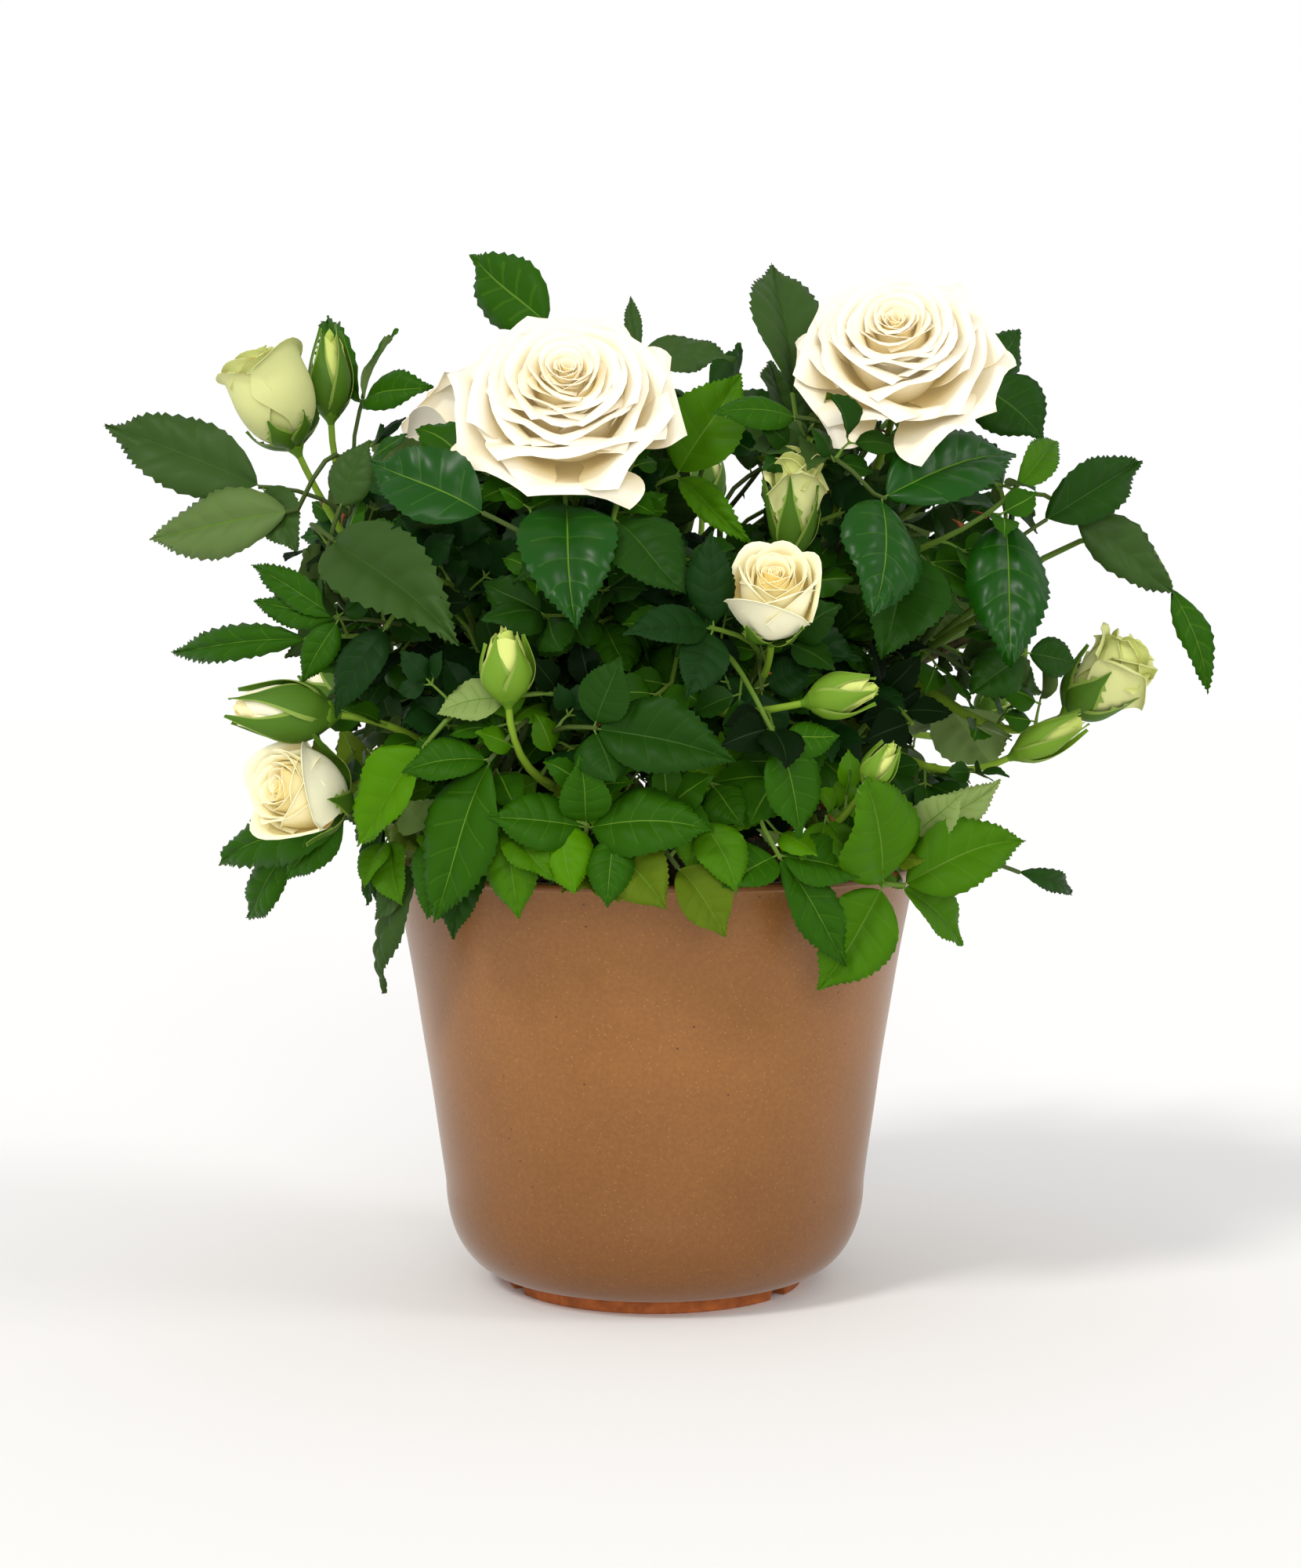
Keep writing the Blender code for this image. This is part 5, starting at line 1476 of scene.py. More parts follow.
def flower_axes(axis):
    """Two directions square to a flower's axis, and the axis."""
    turned = axis.to_track_quat("Z", "Y").to_matrix()
    return turned @ Vector((1, 0, 0)), turned @ Vector((0, 1, 0)), axis


def add_rose(heap, green, kind, foot, axis, radius, height, shades, chance, wear, sepals):
    """A whole bloom: petals in a spiral from the heart out, a hip below it, and five sepals."""
    plan = ROSE_PLANS[kind]
    axes = flower_axes(axis)
    grid = PETAL_GRIDS["far" if kind == "open" and foot.y > 0 else kind]
    count = plan["count"]
    start = chance.uniform(0, TURN)
    for number in range(count):
        share = (number / (count - 1)) ** PETAL_SPACING
        azimuth = start + number * GOLDEN_ANGLE + chance.uniform(*PETAL_STRAYS)
        add_petal(heap, plan, share, foot, axes, azimuth, radius, height, shades, chance, grid, wear)
    add_calyx(green, kind, foot, axes, radius, height, chance, sepals)


def add_calyx(heap, kind, foot, axes, radius, height, chance, sepals):
    """The green hip below a flower, and its five sepals."""
    axis = axes[2]
    plan = ROSE_PLANS[kind]
    wide, deep = HIP_SIZES[kind]
    wide = min(wide * MM, plan["base_radius"][-1] * radius * 0.95 + SEPAL_GAP)
    deep = min(deep * MM, height * 0.34)
    shares = np.linspace(0, 1, 10)
    swell = smooth(shares / 0.62) * (1 - 0.45 * smooth((shares - 0.7) / 0.3))
    radii = 1.0 * MM + (wide * 0.86 - 1.0 * MM) * swell
    low = Vector(foot) - axis * deep * 0.72
    path = [low + axis * deep * share for share in shares]
    heap.tube(path, radii, 14, GREEN_SLOTS["hip"])
    start = chance.uniform(0, TURN)
    for number in range(SEPAL_COUNT):
        azimuth = start + number * 2 * math.pi / SEPAL_COUNT + chance.uniform(-0.15, 0.15)
        add_sepal(heap, kind, Vector(foot), axes, azimuth, radius, height, chance, wide * 0.72, sepals)


# The sepals' number and rows, how far they stand off the petals, how much further out one edge of
# each lies than the other, and the most radius and height of the hip, in millimetres
SEPAL_COUNT = 5
SEPAL_ROWS = 18
SEPAL_GAP = 1.15 * MM
SEPAL_LAP = 0.5 * MM
HIP_SIZES = {
    "open": (4.0, 7.5),
    "half": (3.4, 6.5),
    "tight": (3.4, 6.5),
    "loose": (3.2, 6.5),
    "bud": (9, 5.5),
}

# A sepal's length and half width as shares of its flower's height and radius, and its lean at four
# places where it doesn't lie on the outermost petals
SEPAL_PLANS = {
    "open": (0.50, 0.12, (80, 130, 160, 172)),
    "half": (0.80, 0.26, (None, None, 30, 70)),
    "tight": (0.80, 0.34, (None, None, None, 30)),
    "loose": (0.72, 0.52, (None, None, None, 20)),
    "bud": (1.02, 0.78, (None, None, None, None)),
}


def add_sepal(heap, kind, foot, axes, azimuth, radius, height, chance, hip, sepals):
    """One long sepal with side lobes, that hugs a bud or hangs back below an open flower."""
    radial, around, axis = spoke(axes, azimuth)
    plan = ROSE_PLANS[kind]
    rows = SEPAL_ROWS
    long, broad, own_lean = SEPAL_PLANS[kind]
    size, colour = sepals
    petal_lean = [values[-1] * lean_scale(plan, radius, height) for values in plan["lean"]]
    lean_at = [petal if own is None else own for own, petal in zip(own_lean, petal_lean)]
    length = height * long * chance.uniform(0.9, 1.1) * size
    half_width = radius * broad
    reach = plan["length"][-1] * height
    rise = np.linspace(0, 1, rows + 1)[:, None]
    aside = np.array([-1, -0.8, -0.4, 0, 0.4, 0.8, 1])[None, :]
    along = rise * length / reach if kind != "open" else rise
    lean = np.radians(np.interp(along, LEAN_PLACES, lean_at) + chance.uniform(-3, 10) * rise**3)
    middle = (lean[1:] + lean[:-1]) / 2
    step = length / rows
    zero = np.zeros((1, 1))
    root = plan["base_radius"][-1] * radius + SEPAL_GAP if kind != "open" else 2.5 * MM
    out = root + np.concatenate([zero, np.cumsum(step * np.sin(middle), 0)])
    up = plan["base_height"][-1] * height - SEPAL_GAP
    up = up + np.concatenate([zero, np.cumsum(step * np.cos(middle), 0)])
    joined = 1 - smooth(rise / 0.12)
    out = out + (hip - root) * joined
    up = up - 1.0 * MM * joined
    outline = (1 - rise) ** 0.95 * (0.80 + 0.45 * np.sin(math.pi * np.clip(rise * 1.4, 0, 1))) + 0.012
    lobes = 0.30 * np.exp(-(((rise - 0.56) / 0.035) ** 2)) + 0.22 * np.exp(-(((rise - 0.72) / 0.03) ** 2))
    wide = half_width * (outline + lobes * (np.abs(aside) > 0.9) * (kind != "bud"))
    wrap = 0.0 if kind == "open" else 0.97
    turn = wrap * wide * np.abs(aside) / np.maximum(out, 1.5 * MM)
    turn = np.minimum(turn, 1.25)
    sideways = np.where(turn > 1e-4, np.sin(turn) / np.maximum(turn, 1e-4), 1) * wide * aside
    inward = np.where(turn > 1e-4, (1 - np.cos(turn)) / np.maximum(turn, 1e-4), 0) * wide * np.abs(aside)
    normal = -np.cos(lean)[..., None] * radial + np.sin(lean)[..., None] * axis
    keel = 0.35 * MM * (1 - np.abs(aside)) ** 2
    points = np.array(foot) + out[..., None] * radial + up[..., None] * axis
    lap = SEPAL_LAP * aside * (kind != "open")
    points = points + sideways[..., None] * around + (inward - keel + lap)[..., None] * normal
    slots = np.full((rows, 6), GREEN_SLOTS[colour])
    slots[:, [0, 5]] = GREEN_SLOTS["sepal_edge"]
    thickness = -0.35 * MM * (1 - 0.5 * np.abs(aside)) * np.ones_like(rise)
    heap.shell(points, thickness, slots, GREEN_SLOTS[colour])


# The colours of twigs, stalks and calyxes
GREEN_COLOURS = {
    "stalk": (126, 160, 44),
    "twig": (92, 122, 40),
    "twig_dark": (66, 84, 34),
    "hip": (92, 132, 30),
    "sepal": (74, 112, 26),
    "sepal_pale": (108, 146, 38),
    "sepal_edge": (132, 158, 66),
    "thorn": (150, 84, 52),
}
GREEN_SLOTS = {name: number for number, name in enumerate(GREEN_COLOURS)}

# Twigs, stalks and thorns. A thorn's places from base to point, then how far it hooks down, its
# radii as shares of its size, its sides and its slot, on a twig and on a cane
THORN_PARTS = (0, 0.3, 0.6, 0.85, 1)
TWIG_THORN = (0.45, (0.28, 0.17, 0.10, 0.05, 0.012), 6, GREEN_SLOTS["thorn"])
CANE_THORN = (0.4, (0.32, 0.2, 0.12, 0.06, 0.015), 7, 2)


def fine_path(path, steps):
    """A twig's own bend, from the three points that its solid keeps, then on to its node."""
    start, middle, joint, node = path
    control = middle * 2 - (start + joint) / 2
    return bend(start, control, joint, steps) + [node]


def add_twig_piece(heap, path, radius, steps, sides, slots, chance, thorns):
    """A twig with a swollen foot that thins to its tip, and its thorns."""
    line = fine_path(path, steps)
    shares = np.linspace(0, 1, len(line))
    stout = radius * (0.95 - 0.45 * smooth(shares * 1.3))
    stout = stout * (1 + 0.5 * np.exp(-((shares / 0.06) ** 2)))
    heap.tube(line, stout, sides, slots)
    for number in range(thorns):
        share = chance.uniform(0.1, 0.7)
        index = max(1, min(len(line) - 2, int(share * len(line))))
        tangent = (line[index + 1] - line[index - 1]).normalized()
        out = square_to(tangent, chance)
        base = line[index] + out * stout[index] * 0.6
        add_thorn(heap, base, out, tangent, chance.uniform(2.0, 3.4) * MM, *TWIG_THORN)


def add_thorn(heap, base, out, along, size, hook, widths, sides, slot):
    """A small hooked thorn that points out and down its twig or cane."""
    path = [base + out * size * part - along * size * hook * part**2 for part in THORN_PARTS]
    heap.tube(path, [size * width for width in widths], sides, slot)


# The pot and the soil

POT_FINE_SIDES = 240
GLAZE_COLOUR = (142, 93, 42)
GLAZE_ROUGHNESS = 0.36
GLAZE_SHINE = {"Specular_IOR_Level": 0.4, "Sheen_Weight": 0.25, "Sheen_Roughness": 0.35}
LIP_COLOUR = (134, 86, 42)
LIP_ROUGHNESS = 0.34
CLAY_COLOUR = (160, 84, 30)
CLAY_STOPS = ((0.35, (140, 72, 24)), (0.65, (176, 96, 38)))
PALE_SPECK = (170, 122, 72)
DARK_SPECK = (84, 52, 30)


def pot_profile():
    """The pot's section as (radius, height), from the drain hole out, up and back down inside."""
    inner = RIM_RADIUS - WALL_THICKNESS
    profile = []

    def arc(centre, size, first, last, steps):
        """Adds an arc from one angle to another."""
        for step in range(steps + 1):
            angle = math.radians(first + (last - first) * step / steps)
            profile.append((centre[0] + size * math.cos(angle), centre[1] + size * math.sin(angle)))

    profile.append((DRAIN_RADIUS, FOOT_RECESS))
    profile.append((FOOT_RADIUS - FOOT_WIDTH - 1 * MM, FOOT_RECESS))
    arc((FOOT_RADIUS - FOOT_WIDTH + 0.6 * MM, 0.6 * MM), 0.6 * MM, 180, 270, 4)
    arc((FOOT_RADIUS - 0.6 * MM, 0.6 * MM), 0.6 * MM, 270, 360, 4)
    profile.append((FOOT_RADIUS, FOOT_NECK - 0.6 * MM))
    profile.append((FOOT_RADIUS + 0.25 * MM, FOOT_NECK))
    profile.append((BOWL_FOOT_RADIUS - 0.6 * MM, FOOT_HEIGHT - 0.3 * MM))
    for step in range(25):
        drop = math.cos(math.pi / 2 * step / 24) * (BOWL_TOP - FOOT_HEIGHT)
        profile.append((wall_radius(BOWL_TOP - drop), BOWL_TOP - drop))
    lip_low = POT_HEIGHT - 2.6 * MM
    for step in range(1, 31):
        height = BOWL_TOP + (lip_low - BOWL_TOP) * step / 30
        profile.append((wall_radius(height), height))
    profile.append((RIM_RADIUS - 0.28 * MM, POT_HEIGHT - 2.2 * MM))
    profile.append((RIM_RADIUS + 0.15 * MM, POT_HEIGHT - 1.9 * MM))
    arc((RIM_RADIUS - 1.1 * MM, POT_HEIGHT - 1.3 * MM), 1.3 * MM, 0, 90, 6)
    arc((inner + 1.3 * MM, POT_HEIGHT - 1.3 * MM), 1.3 * MM, 90, 180, 6)
    for step in range(1, 13):
        height = POT_HEIGHT - 2 * MM + (BOWL_TOP - POT_HEIGHT + 2 * MM) * step / 12
        profile.append((wall_radius(height) - WALL_THICKNESS, height))
    profile.append((BOWL_FOOT_RADIUS - WALL_THICKNESS, FLOOR_TOP))
    profile.append((DRAIN_RADIUS, FLOOR_TOP))
    return profile


def revolve(profile, sides, shift):
    """A closed skin: the section turned round the axis, with each point shifted by a rule."""
    section = np.array(profile)
    angles = np.arange(sides) * 2 * math.pi / sides
    radius = section[:, 0][:, None] * np.ones_like(angles)
    height = section[:, 1][:, None] * np.ones_like(angles)
    turn = angles[None, :] * np.ones_like(radius)
    radius, height = shift(radius, height, turn)
    points = np.stack([radius * np.cos(turn), radius * np.sin(turn), height], -1)
    index = np.arange(points.shape[0] * sides).reshape(-1, sides)
    onward = np.roll(index, -1, axis=1)
    above = np.roll(index, -1, axis=0)
    both = np.roll(onward, -1, axis=0)
    return points.reshape(-1, 3), np.stack([index, onward, both, above], -1).reshape(-1, 4)


def notch_shift(radius, height, turn):
    """Lifts the foot ring's lower edge at its notches, and wobbles the wall as thrown clay does."""
    lift = np.zeros_like(height)
    for angle in NOTCH_ANGLES:
        toward = math.radians(angle - 90)
        apart = np.abs((turn - toward + math.pi) % (2 * math.pi) - math.pi) * FOOT_RADIUS
        lift = np.maximum(lift, NOTCH_HEIGHT * smooth((NOTCH_WIDTH / 2 + 0.4 * MM - apart) / (0.9 * MM)))
    low = height < 1.0 * MM
    height = np.where(low & (radius > DRAIN_RADIUS * 2), np.maximum(height, lift), height)
    wave = 0.10 * MM * np.sin(3 * turn + height * 60) + 0.05 * MM * np.sin(7 * turn - height * 200)
    return radius + wave * (height > FOOT_HEIGHT), height


def nodes_of(made):
    """A material's node tree with its shader."""
    return made.node_tree, made.node_tree.nodes["Principled BSDF"]


def texture(tree, kind, output, **settings):
    """A texture in the object's own coordinates."""
    where = tree.nodes.new("ShaderNodeTexCoord")
    made = tree.nodes.new(kind)
    for name, value in settings.items():
        made.inputs[name].default_value = value
    tree.links.new(where.outputs["Object"], made.inputs["Vector"])
    return made.outputs[output]


def noise(tree, scale, detail=4):
    """A cloudy noise."""
    return texture(tree, "ShaderNodeTexNoise", "Fac", Scale=scale, Detail=detail, Roughness=0.6)


def cells(tree, scale):
    """The distance to the nearest of scattered points."""
    return texture(tree, "ShaderNodeTexVoronoi", "Distance", Scale=scale)


def ramp(tree, value, stops):
    """A colour ramp over a value, from stops of (place, display colour)."""
    made = tree.nodes.new("ShaderNodeValToRGB")
    bar = made.color_ramp
    while len(bar.elements) < len(stops):
        bar.elements.new(0.5)
    for element, (position, colour) in zip(bar.elements, stops):
        element.position = position
        element.color = (*srgb(*colour), 1)
    tree.links.new(value, made.inputs["Fac"])
    return made.outputs["Color"]


def mix(tree, factor, first, second, blend="MIX"):
    """Two colours mixed by a factor."""
    made = tree.nodes.new("ShaderNodeMix")
    made.data_type = "RGBA"
    made.blend_type = blend
    for socket, value in (("Factor", factor), ("A", first), ("B", second)):
        inputs = [item for item in made.inputs if item.name == socket and item.enabled]
        if isinstance(value, (tuple, float, int)):
            inputs[0].default_value = value
        else:
            tree.links.new(value, inputs[0])
    return next(item for item in made.outputs if item.enabled)


def glaze_material():
    """The pot's tan glaze: cloudy brown with fine pale and a few dark specks, and painted shade that
    darkens it towards the bottom.
    """
    made = plain("glaze", GLAZE_COLOUR, GLAZE_ROUGHNESS, **GLAZE_SHINE)
    tree, shader = nodes_of(made)
    cloud = ramp(tree, noise(tree, 38), ((0.35, (140, 91, 39)), (0.65, (145, 95, 43))))
    grain = ramp(tree, noise(tree, 900, 2), ((0.40, (232, 227, 223)), (0.62, (255, 255, 255))))
    cloud = mix(tree, 0.55, cloud, grain, "MULTIPLY")
    pale = ramp(tree, cells(tree, 640), ((0.08, (255, 255, 255)), (0.15, (0, 0, 0))))
    cloud = mix(tree, pale, cloud, (*srgb(*PALE_SPECK), 1))
    dark = ramp(tree, cells(tree, 150), ((0.035, (255, 255, 255)), (0.055, (0, 0, 0))))
    cloud = mix(tree, dark, cloud, (*srgb(*DARK_SPECK), 1))
    # Painted shade: the glaze is darkened towards the bottom of the pot
    where = tree.nodes.new("ShaderNodeTexCoord")
    split = tree.nodes.new("ShaderNodeSeparateXYZ")
    tree.links.new(where.outputs["Object"], split.inputs["Vector"])
    low = tree.nodes.new("ShaderNodeMapRange")
    low.inputs["From Max"].default_value = POT_HEIGHT
    tree.links.new(split.outputs["Z"], low.inputs["Value"])
    painted_low_shade = ramp(tree, low.outputs["Result"], ((0.0, (206, 198, 182)), (0.6, (255, 255, 255))))
    cloud = mix(tree, 1.0, cloud, painted_low_shade, "MULTIPLY")
    tree.links.new(cloud, shader.inputs["Base Color"])
    return made


def mottled(name, colour, roughness, scale, detail, stops):
    """A material whose colour goes over the stops in clouds."""
    made = plain(name, colour, roughness)
    tree, shader = nodes_of(made)
    clouds = ramp(tree, noise(tree, scale, detail), stops)
    tree.links.new(clouds, shader.inputs["Base Color"])
    return made


def build_pot():
    """The pot, glazed down to the top of its bare foot ring."""
    points, quads = revolve(pot_profile(), POT_FINE_SIDES, notch_shift)
    heap = Heap()
    heights = points[quads][:, :, 2].mean(axis=1)
    radii = np.hypot(points[quads][:, :, 0], points[quads][:, :, 1]).mean(axis=1)
    drain = (heights < FLOOR_TOP - 1 * MM) & (radii < DRAIN_RADIUS + 1 * MM)
    bare = (heights < FOOT_HEIGHT - 0.5 * MM) | drain
    lip = heights > POT_HEIGHT - 2.0 * MM
    heap.add(points, quads, np.where(bare, 1, np.where(lip, 2, 0)))
    lip_finish = plain("lip_glaze", LIP_COLOUR, LIP_ROUGHNESS)
    finishes = [
        glaze_material(),
        mottled("bare_clay", CLAY_COLOUR, 0.8, 260, 4, CLAY_STOPS),
        lip_finish,
    ]
    heap.make("pot_body", finishes, "stoneware", ["pot"], POT_CREASE)


SOIL_RINGS = 60
SOIL_FINE_SIDES = 180
SOIL_LUMPS = 60
SOIL_CRUMBS = 1500


def build_soil(chance):
    """The soil: a lumpy domed top on a plug that fills the pot, with crumbs strewn over it."""
    gap = WALL_THICKNESS + CLEARANCE
    share = (SOIL_TOP - BOWL_TOP) / (POT_HEIGHT - LIP_ROUNDING - BOWL_TOP)
    edge = BOWL_RADIUS - WALL_THICKNESS + (RIM_RADIUS - BOWL_RADIUS) * share - CLEARANCE
    rings = [(1 * MM, FLOOR_TOP + CLEARANCE), (BOWL_FOOT_RADIUS - gap, FLOOR_TOP + CLEARANCE)]
    rings += [(BOWL_RADIUS - gap, BOWL_TOP), (edge, SOIL_TOP - 1 * MM)]
    for step in range(1, SOIL_RINGS):
        wide = edge * (1 - step / SOIL_RINGS)
        rings.append((wide, SOIL_TOP + SOIL_DOME * smooth(1 - wide / edge) ** 0.5))
    angles = np.arange(SOIL_FINE_SIDES) * 2 * math.pi / SOIL_FINE_SIDES
    lumps = []
    for number in range(SOIL_LUMPS):
        turn = chance.uniform(0, TURN)
        waves = chance.uniform(120, 1500)
        phase = chance.uniform(0, TURN)
        lumps.append((math.cos(turn) * waves, math.sin(turn) * waves, phase, 60 / (60 + waves)))
    grid = []
    for radius, height in rings:
        x, y = radius * np.cos(angles), radius * np.sin(angles)
        bump = sum(size * np.sin(x * right + y * back + phase) for right, back, phase, size in lumps)
        bump = bump * 0.5 * MM
        top = height > SOIL_TOP - 0.5 * MM
        grid.append(np.stack([x, y, np.full_like(x, height) + (bump if top else 0)], -1))
    heap = Heap()
    heap.rings(np.array(grid), 0)
    ball = bmesh.new()
    bmesh.ops.create_icosphere(ball, subdivisions=1, radius=1)
    corners = np.array([tuple(corner.co) for corner in ball.verts])
    faces = np.array([[corner.index for corner in face.verts] for face in ball.faces])
    ball.free()
    for number in range(SOIL_CRUMBS):
        radius = edge * math.sqrt(chance.random()) * 0.97
        turn = chance.uniform(0, TURN)
        size = chance.uniform(0.4, 1.5) * MM * (1.5 if chance.random() < 0.06 else 1)
        squash = np.array([chance.uniform(0.6, 1.5), chance.uniform(0.6, 1.3), chance.uniform(0.4, 0.9)])
        rough = 1 + 0.25 * np.array([chance.uniform(-1, 1) for corner in corners])[:, None]
        turned = chance.uniform(0, TURN)
        spin = Matrix.Rotation(turned, 3, Vector((chance.random(), chance.random(), 1)))
        centre = np.array([radius * math.cos(turn), radius * math.sin(turn), SOIL_TOP + SOIL_DOME * 0.7])
        points = (corners * squash * rough * size) @ np.array(spin).T + centre
        slot = 2 if chance.random() < 0.03 else chance.choice((0, 1))
        empty = np.zeros((0, 4), int)
        heap.add(points, empty, slot, faces, slot)
    finishes = [
        plain("peat", (44, 30, 20), 0.95),
        plain("peat_pale", (70, 48, 32), 0.95),
        plain("grit", (176, 168, 152), 0.9),
    ]
    heap.make("soil_top", finishes, "soil", ["soil"], SOIL_CREASE)


# The canes
CANE_FINE_SIDES = 14
CANE_THORNS = 9
BARK_COLOURS = {
    "bark_green": ((86, 104, 44), (58, 72, 34)),
    "bark_brown": ((104, 92, 52), (66, 54, 34)),
}


def build_canes(bush, chance):
    """The canes and the stems that carry them on, with ridged bark, old scars and thorns."""
    heap = Heap()
    for name, path in bush.canes.items():
        whole = path + bush.stems[name][1:]
        line = smooth_line(whole, 8)
        count = len(line)
        shares = np.linspace(0, 1, count)
        radii = CANE_FOOT_RADIUS + (STEM_TIP_RADIUS * 0.85 - CANE_FOOT_RADIUS) * shares**0.8
        radii = radii * (1 + 0.22 * np.exp(-((shares / 0.04) ** 2)))
        rings = tube_rings(line, radii, CANE_FINE_SIDES)
        centre = rings.mean(axis=1, keepdims=True)
        phase = chance.uniform(0, TURN)
        turn = np.arange(CANE_FINE_SIDES)[None, :] * 2 * math.pi / CANE_FINE_SIDES
        along = shares[:, None] * count
        ridge = 0.05 * np.sin(turn * 4 + along * 0.25 + phase) + 0.035 * np.sin(turn * 7 - along * 0.6)
        joints = 0.16 * np.exp(-(((along % 19) - 9) / 1.1) ** 2)
        rings = centre + (rings - centre) * (1 + ridge + joints)[..., None]
        heap.rings(rings, 0 if chance.random() < 0.5 else 1)
        for number in range(CANE_THORNS):
            index = int(chance.uniform(0.12, 0.9) * count)
            tangent = Vector(line[min(count - 1, index + 1)] - line[index - 1]).normalized()
            out = square_to(tangent, chance)
            base = Vector(line[index]) + out * radii[index] * 0.7
            add_thorn(heap, base, out, tangent, chance.uniform(2.6, 4.6) * MM, *CANE_THORN)
    finishes = []
    for name, (pale, dark) in BARK_COLOURS.items():
        finishes.append(mottled(name, pale, 0.6, 320, 5, ((0.38, dark), (0.62, pale))))
    finishes.append(plain("thorn_red", (150, 78, 50), 0.5))
    nodes = [name.replace("_mass", "_cane") for name in MASSES]
    heap.make("canes", finishes, "bark", nodes, TWIG_CREASE)


def smooth_line(path, steps):
    """A path of points drawn as one smooth line through them all."""
    points = np.array([tuple(point) for point in path])
    padded = np.concatenate([points[:1] * 2 - points[1:2], points, points[-1:] * 2 - points[-2:-1]])
    line = []
    for index in range(1, len(padded) - 2):
        before, here, after, beyond = padded[index - 1 : index + 3]
        for step in range(steps):
            share = step / steps
            bent = (2 * before - 5 * here + 4 * after - beyond) * share**2
            curled = (3 * here - before - 3 * after + beyond) * share**3
            line.append(0.5 * (2 * here + (after - before) * share + bent + curled))
    line.append(points[-1])
    return np.array(line)


# Putting it all together

# The shade of each flower or bud, in the order of FLOWERS
FLOWER_SHADES = (
    "ivory ivory cream cream lime lime green lime cream green green green green ivory ivory cream "
    "lime cream"
).split()

# Where each piece of leaves starts, in degrees round the bush from the viewer to the right
LEAF_SECTORS = {
    "leaves_front": 0,
    "leaves_right": 45,
    "leaves_back_right": 100,
    "leaves_back": 160,
    "leaves_back_left": 220,
    "leaves_left": 275,
    "leaves_front_left": 318,
}

# Half-open flowers that are still tight or already loose, by their number in FLOWERS
FLOWER_LOOKS = {4: "tight", 5: "loose", 7: "loose", 14: "tight"}

# How browned the rims of a flower's petals are, and the length and colour of its sepals, where that
# is unusual
FLOWER_WEAR = {0: 0.05, 1: 0.04, 4: 0.3, 7: 0.15, 13: 0.05}
FLOWER_SEPALS = {
    4: (0.45, "sepal"),
    2: (0.8, "sepal"),
    9: (0.86, "sepal_pale"),
    10: (1, "sepal_pale"),
    11: (1, "sepal_pale"),
    12: (1, "sepal_pale"),
}

# The way that open flowers face in full detail: turn to the right and tilt up, in degrees
FLOWER_FACES = {0: (-2, 37), 1: (-6, 38)}

# Leaflets further across than this are turned to show their faces, by this share of the way
TURNED_BEYOND = 88 * MM
TURNED_SHARE = 0.65

# Leaflets in front that are longer than this are made the finest
FINE_FROM = 20 * MM

# How much wider or slimmer a flower is than its solid
FLOWER_SIZES = {0: 1.0, 1: 0.98, 9: 1.1, 4: 0.95, 5: 0.95, 7: 0.95}


def turned_to_viewer(base, tip, normal):
    """The way a leaflet faces, turned about its own length towards the viewer."""
    along = (tip - base).normalized()
    sight = Vector((0, -EYE_DISTANCE, EYE_HEIGHT)) - (base + tip) / 2
    sight = (sight - along * sight.dot(along)).normalized()
    if normal.dot(sight) < 0:
        sight = -sight
    return normal.lerp(sight, TURNED_SHARE).normalized()


def build_foliage(bush):
    """The leaflets in joined pieces, by the side of the bush that they grow on."""
    chance = random.Random(SEED + 1)
    heaps = [Heap() for sector in LEAF_SECTORS]
    owners = [set() for sector in LEAF_SECTORS]
    for mass in MASSES:
        for base, tip, normal, width, tone, fill in bush.leaves[mass]:
            middle = (base + tip) / 2
            turn = math.degrees(math.atan2(middle.x, -middle.y)) % 360
            sector = max(i for i, first in enumerate(LEAF_SECTORS.values()) if turn >= first)
            near = middle.y < FRONT_BEFORE and (tip - base).length > FINE_FROM
            if not fill and abs(middle.x) > TURNED_BEYOND and middle.y < TURNED_BEYOND / 2:
                normal = turned_to_viewer(base, tip, normal)
            small = TINY if (tip - base).length < TINY_BELOW else COARSE
            detail = small if fill else FINE if near else MEDIUM
            add_leaflet(heaps[sector], base, tip, normal, width, tone, detail, chance)
            owners[sector].add(mass)
    finishes = leaf_materials()
    for name, heap, masses in zip(LEAF_SECTORS, heaps, owners):
        heap.make(name, finishes, "foliage", sorted(masses), LEAF_CREASE)


def green_materials(kind):
    """The materials of twigs, stalks and calyxes, named for their kind."""
    made = []
    for name, colour in GREEN_COLOURS.items():
        made.append(plain(f"{kind}_{name}", colour, 0.5, Specular_IOR_Level=0.15))
    return made


def build_twigs(bush):
    """The twigs and flower stalks of every mass, with their thorns."""
    chance = random.Random(SEED + 2)
    heap = Heap()
    for mass in MASSES:
        for path, radius in bush.twigs[mass]:
            stalk = radius > TWIG_RADIUS
            slot = GREEN_SLOTS["stalk" if stalk else chance.choice(("twig", "twig", "twig_dark"))]
            steps, sides = (10, 8) if stalk else (8, 6)
            thorns = chance.choice((0, 1, 2))
            add_twig_piece(heap, path, radius, steps, sides, slot, chance, thorns)
        for base, tip, normal, width, tone, fill in bush.leaves[mass]:
            along = (tip - base).normalized()
            line = [base - along * 0.4 * MM, base + along * (LEAF_STALK + 0.6 * MM)]
            heap.tube(line, LEAF_STALK_RADII, 4, GREEN_SLOTS["twig"])
    for start, node, out in bush.stalks:
        line = bend(start, start.lerp(node, 0.5) + Vector((0, 0, 1 * MM)), node + out * 0.5 * MM, 2)
        heap.tube(line, SIDE_STALK_RADII, 4, GREEN_SLOTS["twig"])
    heap.make("twigs", green_materials("green"), "foliage", list(MASSES), TWIG_CREASE)


def rounded(point):
    """A point as numbers that can be looked up."""
    return tuple(round(value, 6) for value in point)


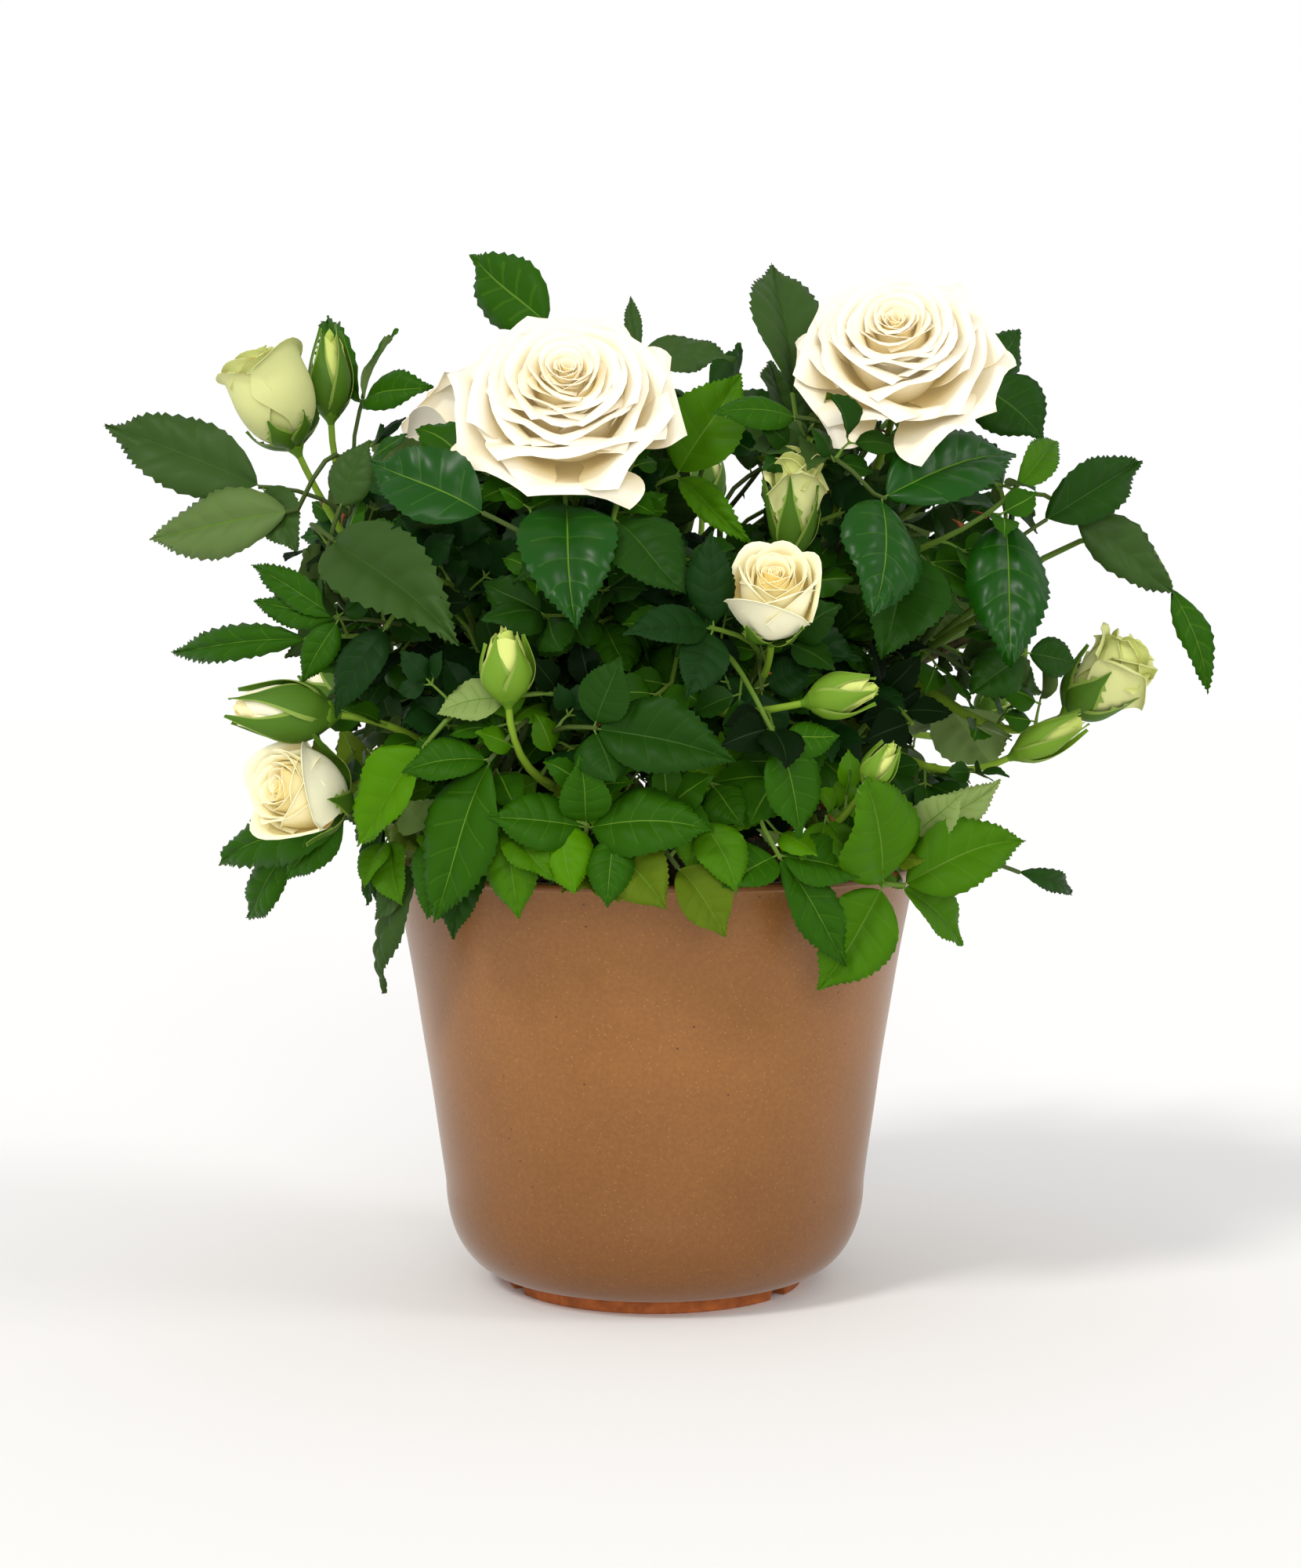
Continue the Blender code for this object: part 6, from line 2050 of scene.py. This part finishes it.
def petal_materials():
    """A material for each shade of each petal colour, from the depth to the rim, the deeper ones with a
    painted glow, then the rust.
    """
    made = []
    for name, (deep, rim) in PETAL_COLOURS.items():
        for number in range(PETAL_SHADES):
            share = (number / (PETAL_SHADES - 1)) ** 0.8
            colour = [deep[i] + (rim[i] - deep[i]) * share for i in range(3)]
            shade = plain(f"petal_{name}_{number}", colour, 0.55, Specular_IOR_Level=0.2)
            shader = nodes_of(shade)[1]
            # Painted glow: the deeper shades give off a faint light of their own
            shader.inputs["Emission Color"].default_value = (*srgb(*colour), 1)
            shader.inputs["Emission Strength"].default_value = PAINTED_PETAL_GLOW * (1 - share)
            made.append(shade)
    made.append(plain("petal_rust", RUST_COLOUR, 0.7, Specular_IOR_Level=0.2))
    return made


def build_flowers(bush):
    """Every bloom and bud, with the petals in joined pieces and the green parts in one."""
    chance = random.Random(SEED + 3)
    shade_names = list(PETAL_COLOURS)
    finishes = petal_materials()
    pieces = {"blooms_left": Heap(), "blooms_right": Heap(), "blooms_small": Heap()}
    owners = {name: set() for name in pieces}
    green = Heap()
    flat = [(mass, flower) for mass in MASSES for flower in bush.flowers[mass]]
    order = {rounded(place(*entry[2])): number for number, entry in enumerate(FLOWERS)}
    for mass, (kind, foot, axis, radius, height) in flat:
        number = order[rounded(foot)]
        shades = shade_names.index(FLOWER_SHADES[number]) * PETAL_SHADES
        kind = FLOWER_LOOKS.get(number, kind)
        if number in FLOWER_FACES:
            axis = facing(*FLOWER_FACES[number])
        if number in FLOWER_SIZES:
            radius *= FLOWER_SIZES[number]
        if kind == "open":
            name = "blooms_left" if foot.x < 0 else "blooms_right"
        else:
            name = "blooms_small"
        owners[name].add(mass)
        wear = FLOWER_WEAR.get(number, 0.01)
        sepals = FLOWER_SEPALS.get(number, (1, "sepal"))
        add_rose(pieces[name], green, kind, foot, axis, radius, height, shades, chance, wear, sepals)
    for name, heap in pieces.items():
        heap.make(name, finishes, "blossom", sorted(owners[name]), PETAL_CREASE)
    green.make("calyxes", green_materials("calyx"), "foliage", [], GREEN_CREASE)


def distant_light(name, turn, tilt, softness, strength, colour):
    """A soft light from afar, from turn degrees to the viewer's right of the viewer and tilt up."""
    data = bpy.data.lights.new(name, "SUN")
    data.angle = math.radians(softness)
    data.energy = strength
    data.color = colour
    made = bpy.data.objects.new(name, data)
    bpy.context.scene.collection.objects.link(made)
    made.rotation_euler = (-facing(turn, tilt)).to_track_quat("-Z", "Y").to_euler()


def build_studio():
    """A pale floor, a white surround, soft lights and the camera at the photograph's place."""
    floor_mesh = bpy.data.meshes.new("floor")
    turns = ((-1, -1), (1, -1), (1, 1), (-1, 1))
    corners = [(x * FLOOR_HALF, y * FLOOR_HALF, 0) for x, y in turns]
    floor_mesh.from_pydata(corners, [], [(0, 1, 2, 3)])
    floor = bpy.data.objects.new("floor", floor_mesh)
    bpy.context.scene.collection.objects.link(floor)
    floor.data.materials.append(plain("floor_paper", (254, 253, 252), 0.9, Specular_IOR_Level=0.0))
    world = bpy.data.worlds.new("surround")
    world.use_nodes = True
    background = world.node_tree.nodes["Background"]
    background.inputs["Color"].default_value = (1, 1, 1, 1)
    rays = world.node_tree.nodes.new("ShaderNodeLightPath")
    strength = world.node_tree.nodes.new("ShaderNodeMapRange")
    strength.inputs["To Min"].default_value = SURROUND_LIGHT
    strength.inputs["To Max"].default_value = 1.0
    world.node_tree.links.new(rays.outputs["Is Camera Ray"], strength.inputs["Value"])
    world.node_tree.links.new(strength.outputs["Result"], background.inputs["Strength"])
    bpy.context.scene.world = world
    for name, settings in LIGHTS.items():
        distant_light(name, *settings)
    camera_data = bpy.data.cameras.new("camera")
    camera_data.lens = CAMERA_LENS
    camera_data.sensor_width = CAMERA_SENSOR
    camera_data.clip_start = 0.01
    camera_data.clip_end = 30
    camera = bpy.data.objects.new("camera", camera_data)
    bpy.context.scene.collection.objects.link(camera)
    camera.location = (CAMERA_ACROSS, -EYE_DISTANCE, EYE_HEIGHT)
    camera.rotation_euler = (math.pi / 2 - CAMERA_PITCH, 0, 0)
    bpy.context.scene.camera = camera
    bpy.context.scene.view_settings.view_transform = "Standard"


bush = Plant()
build_pot()
build_soil(random.Random(SEED + 4))
build_canes(bush, random.Random(SEED + 5))
build_twigs(bush)
build_foliage(bush)
build_flowers(bush)
build_studio()
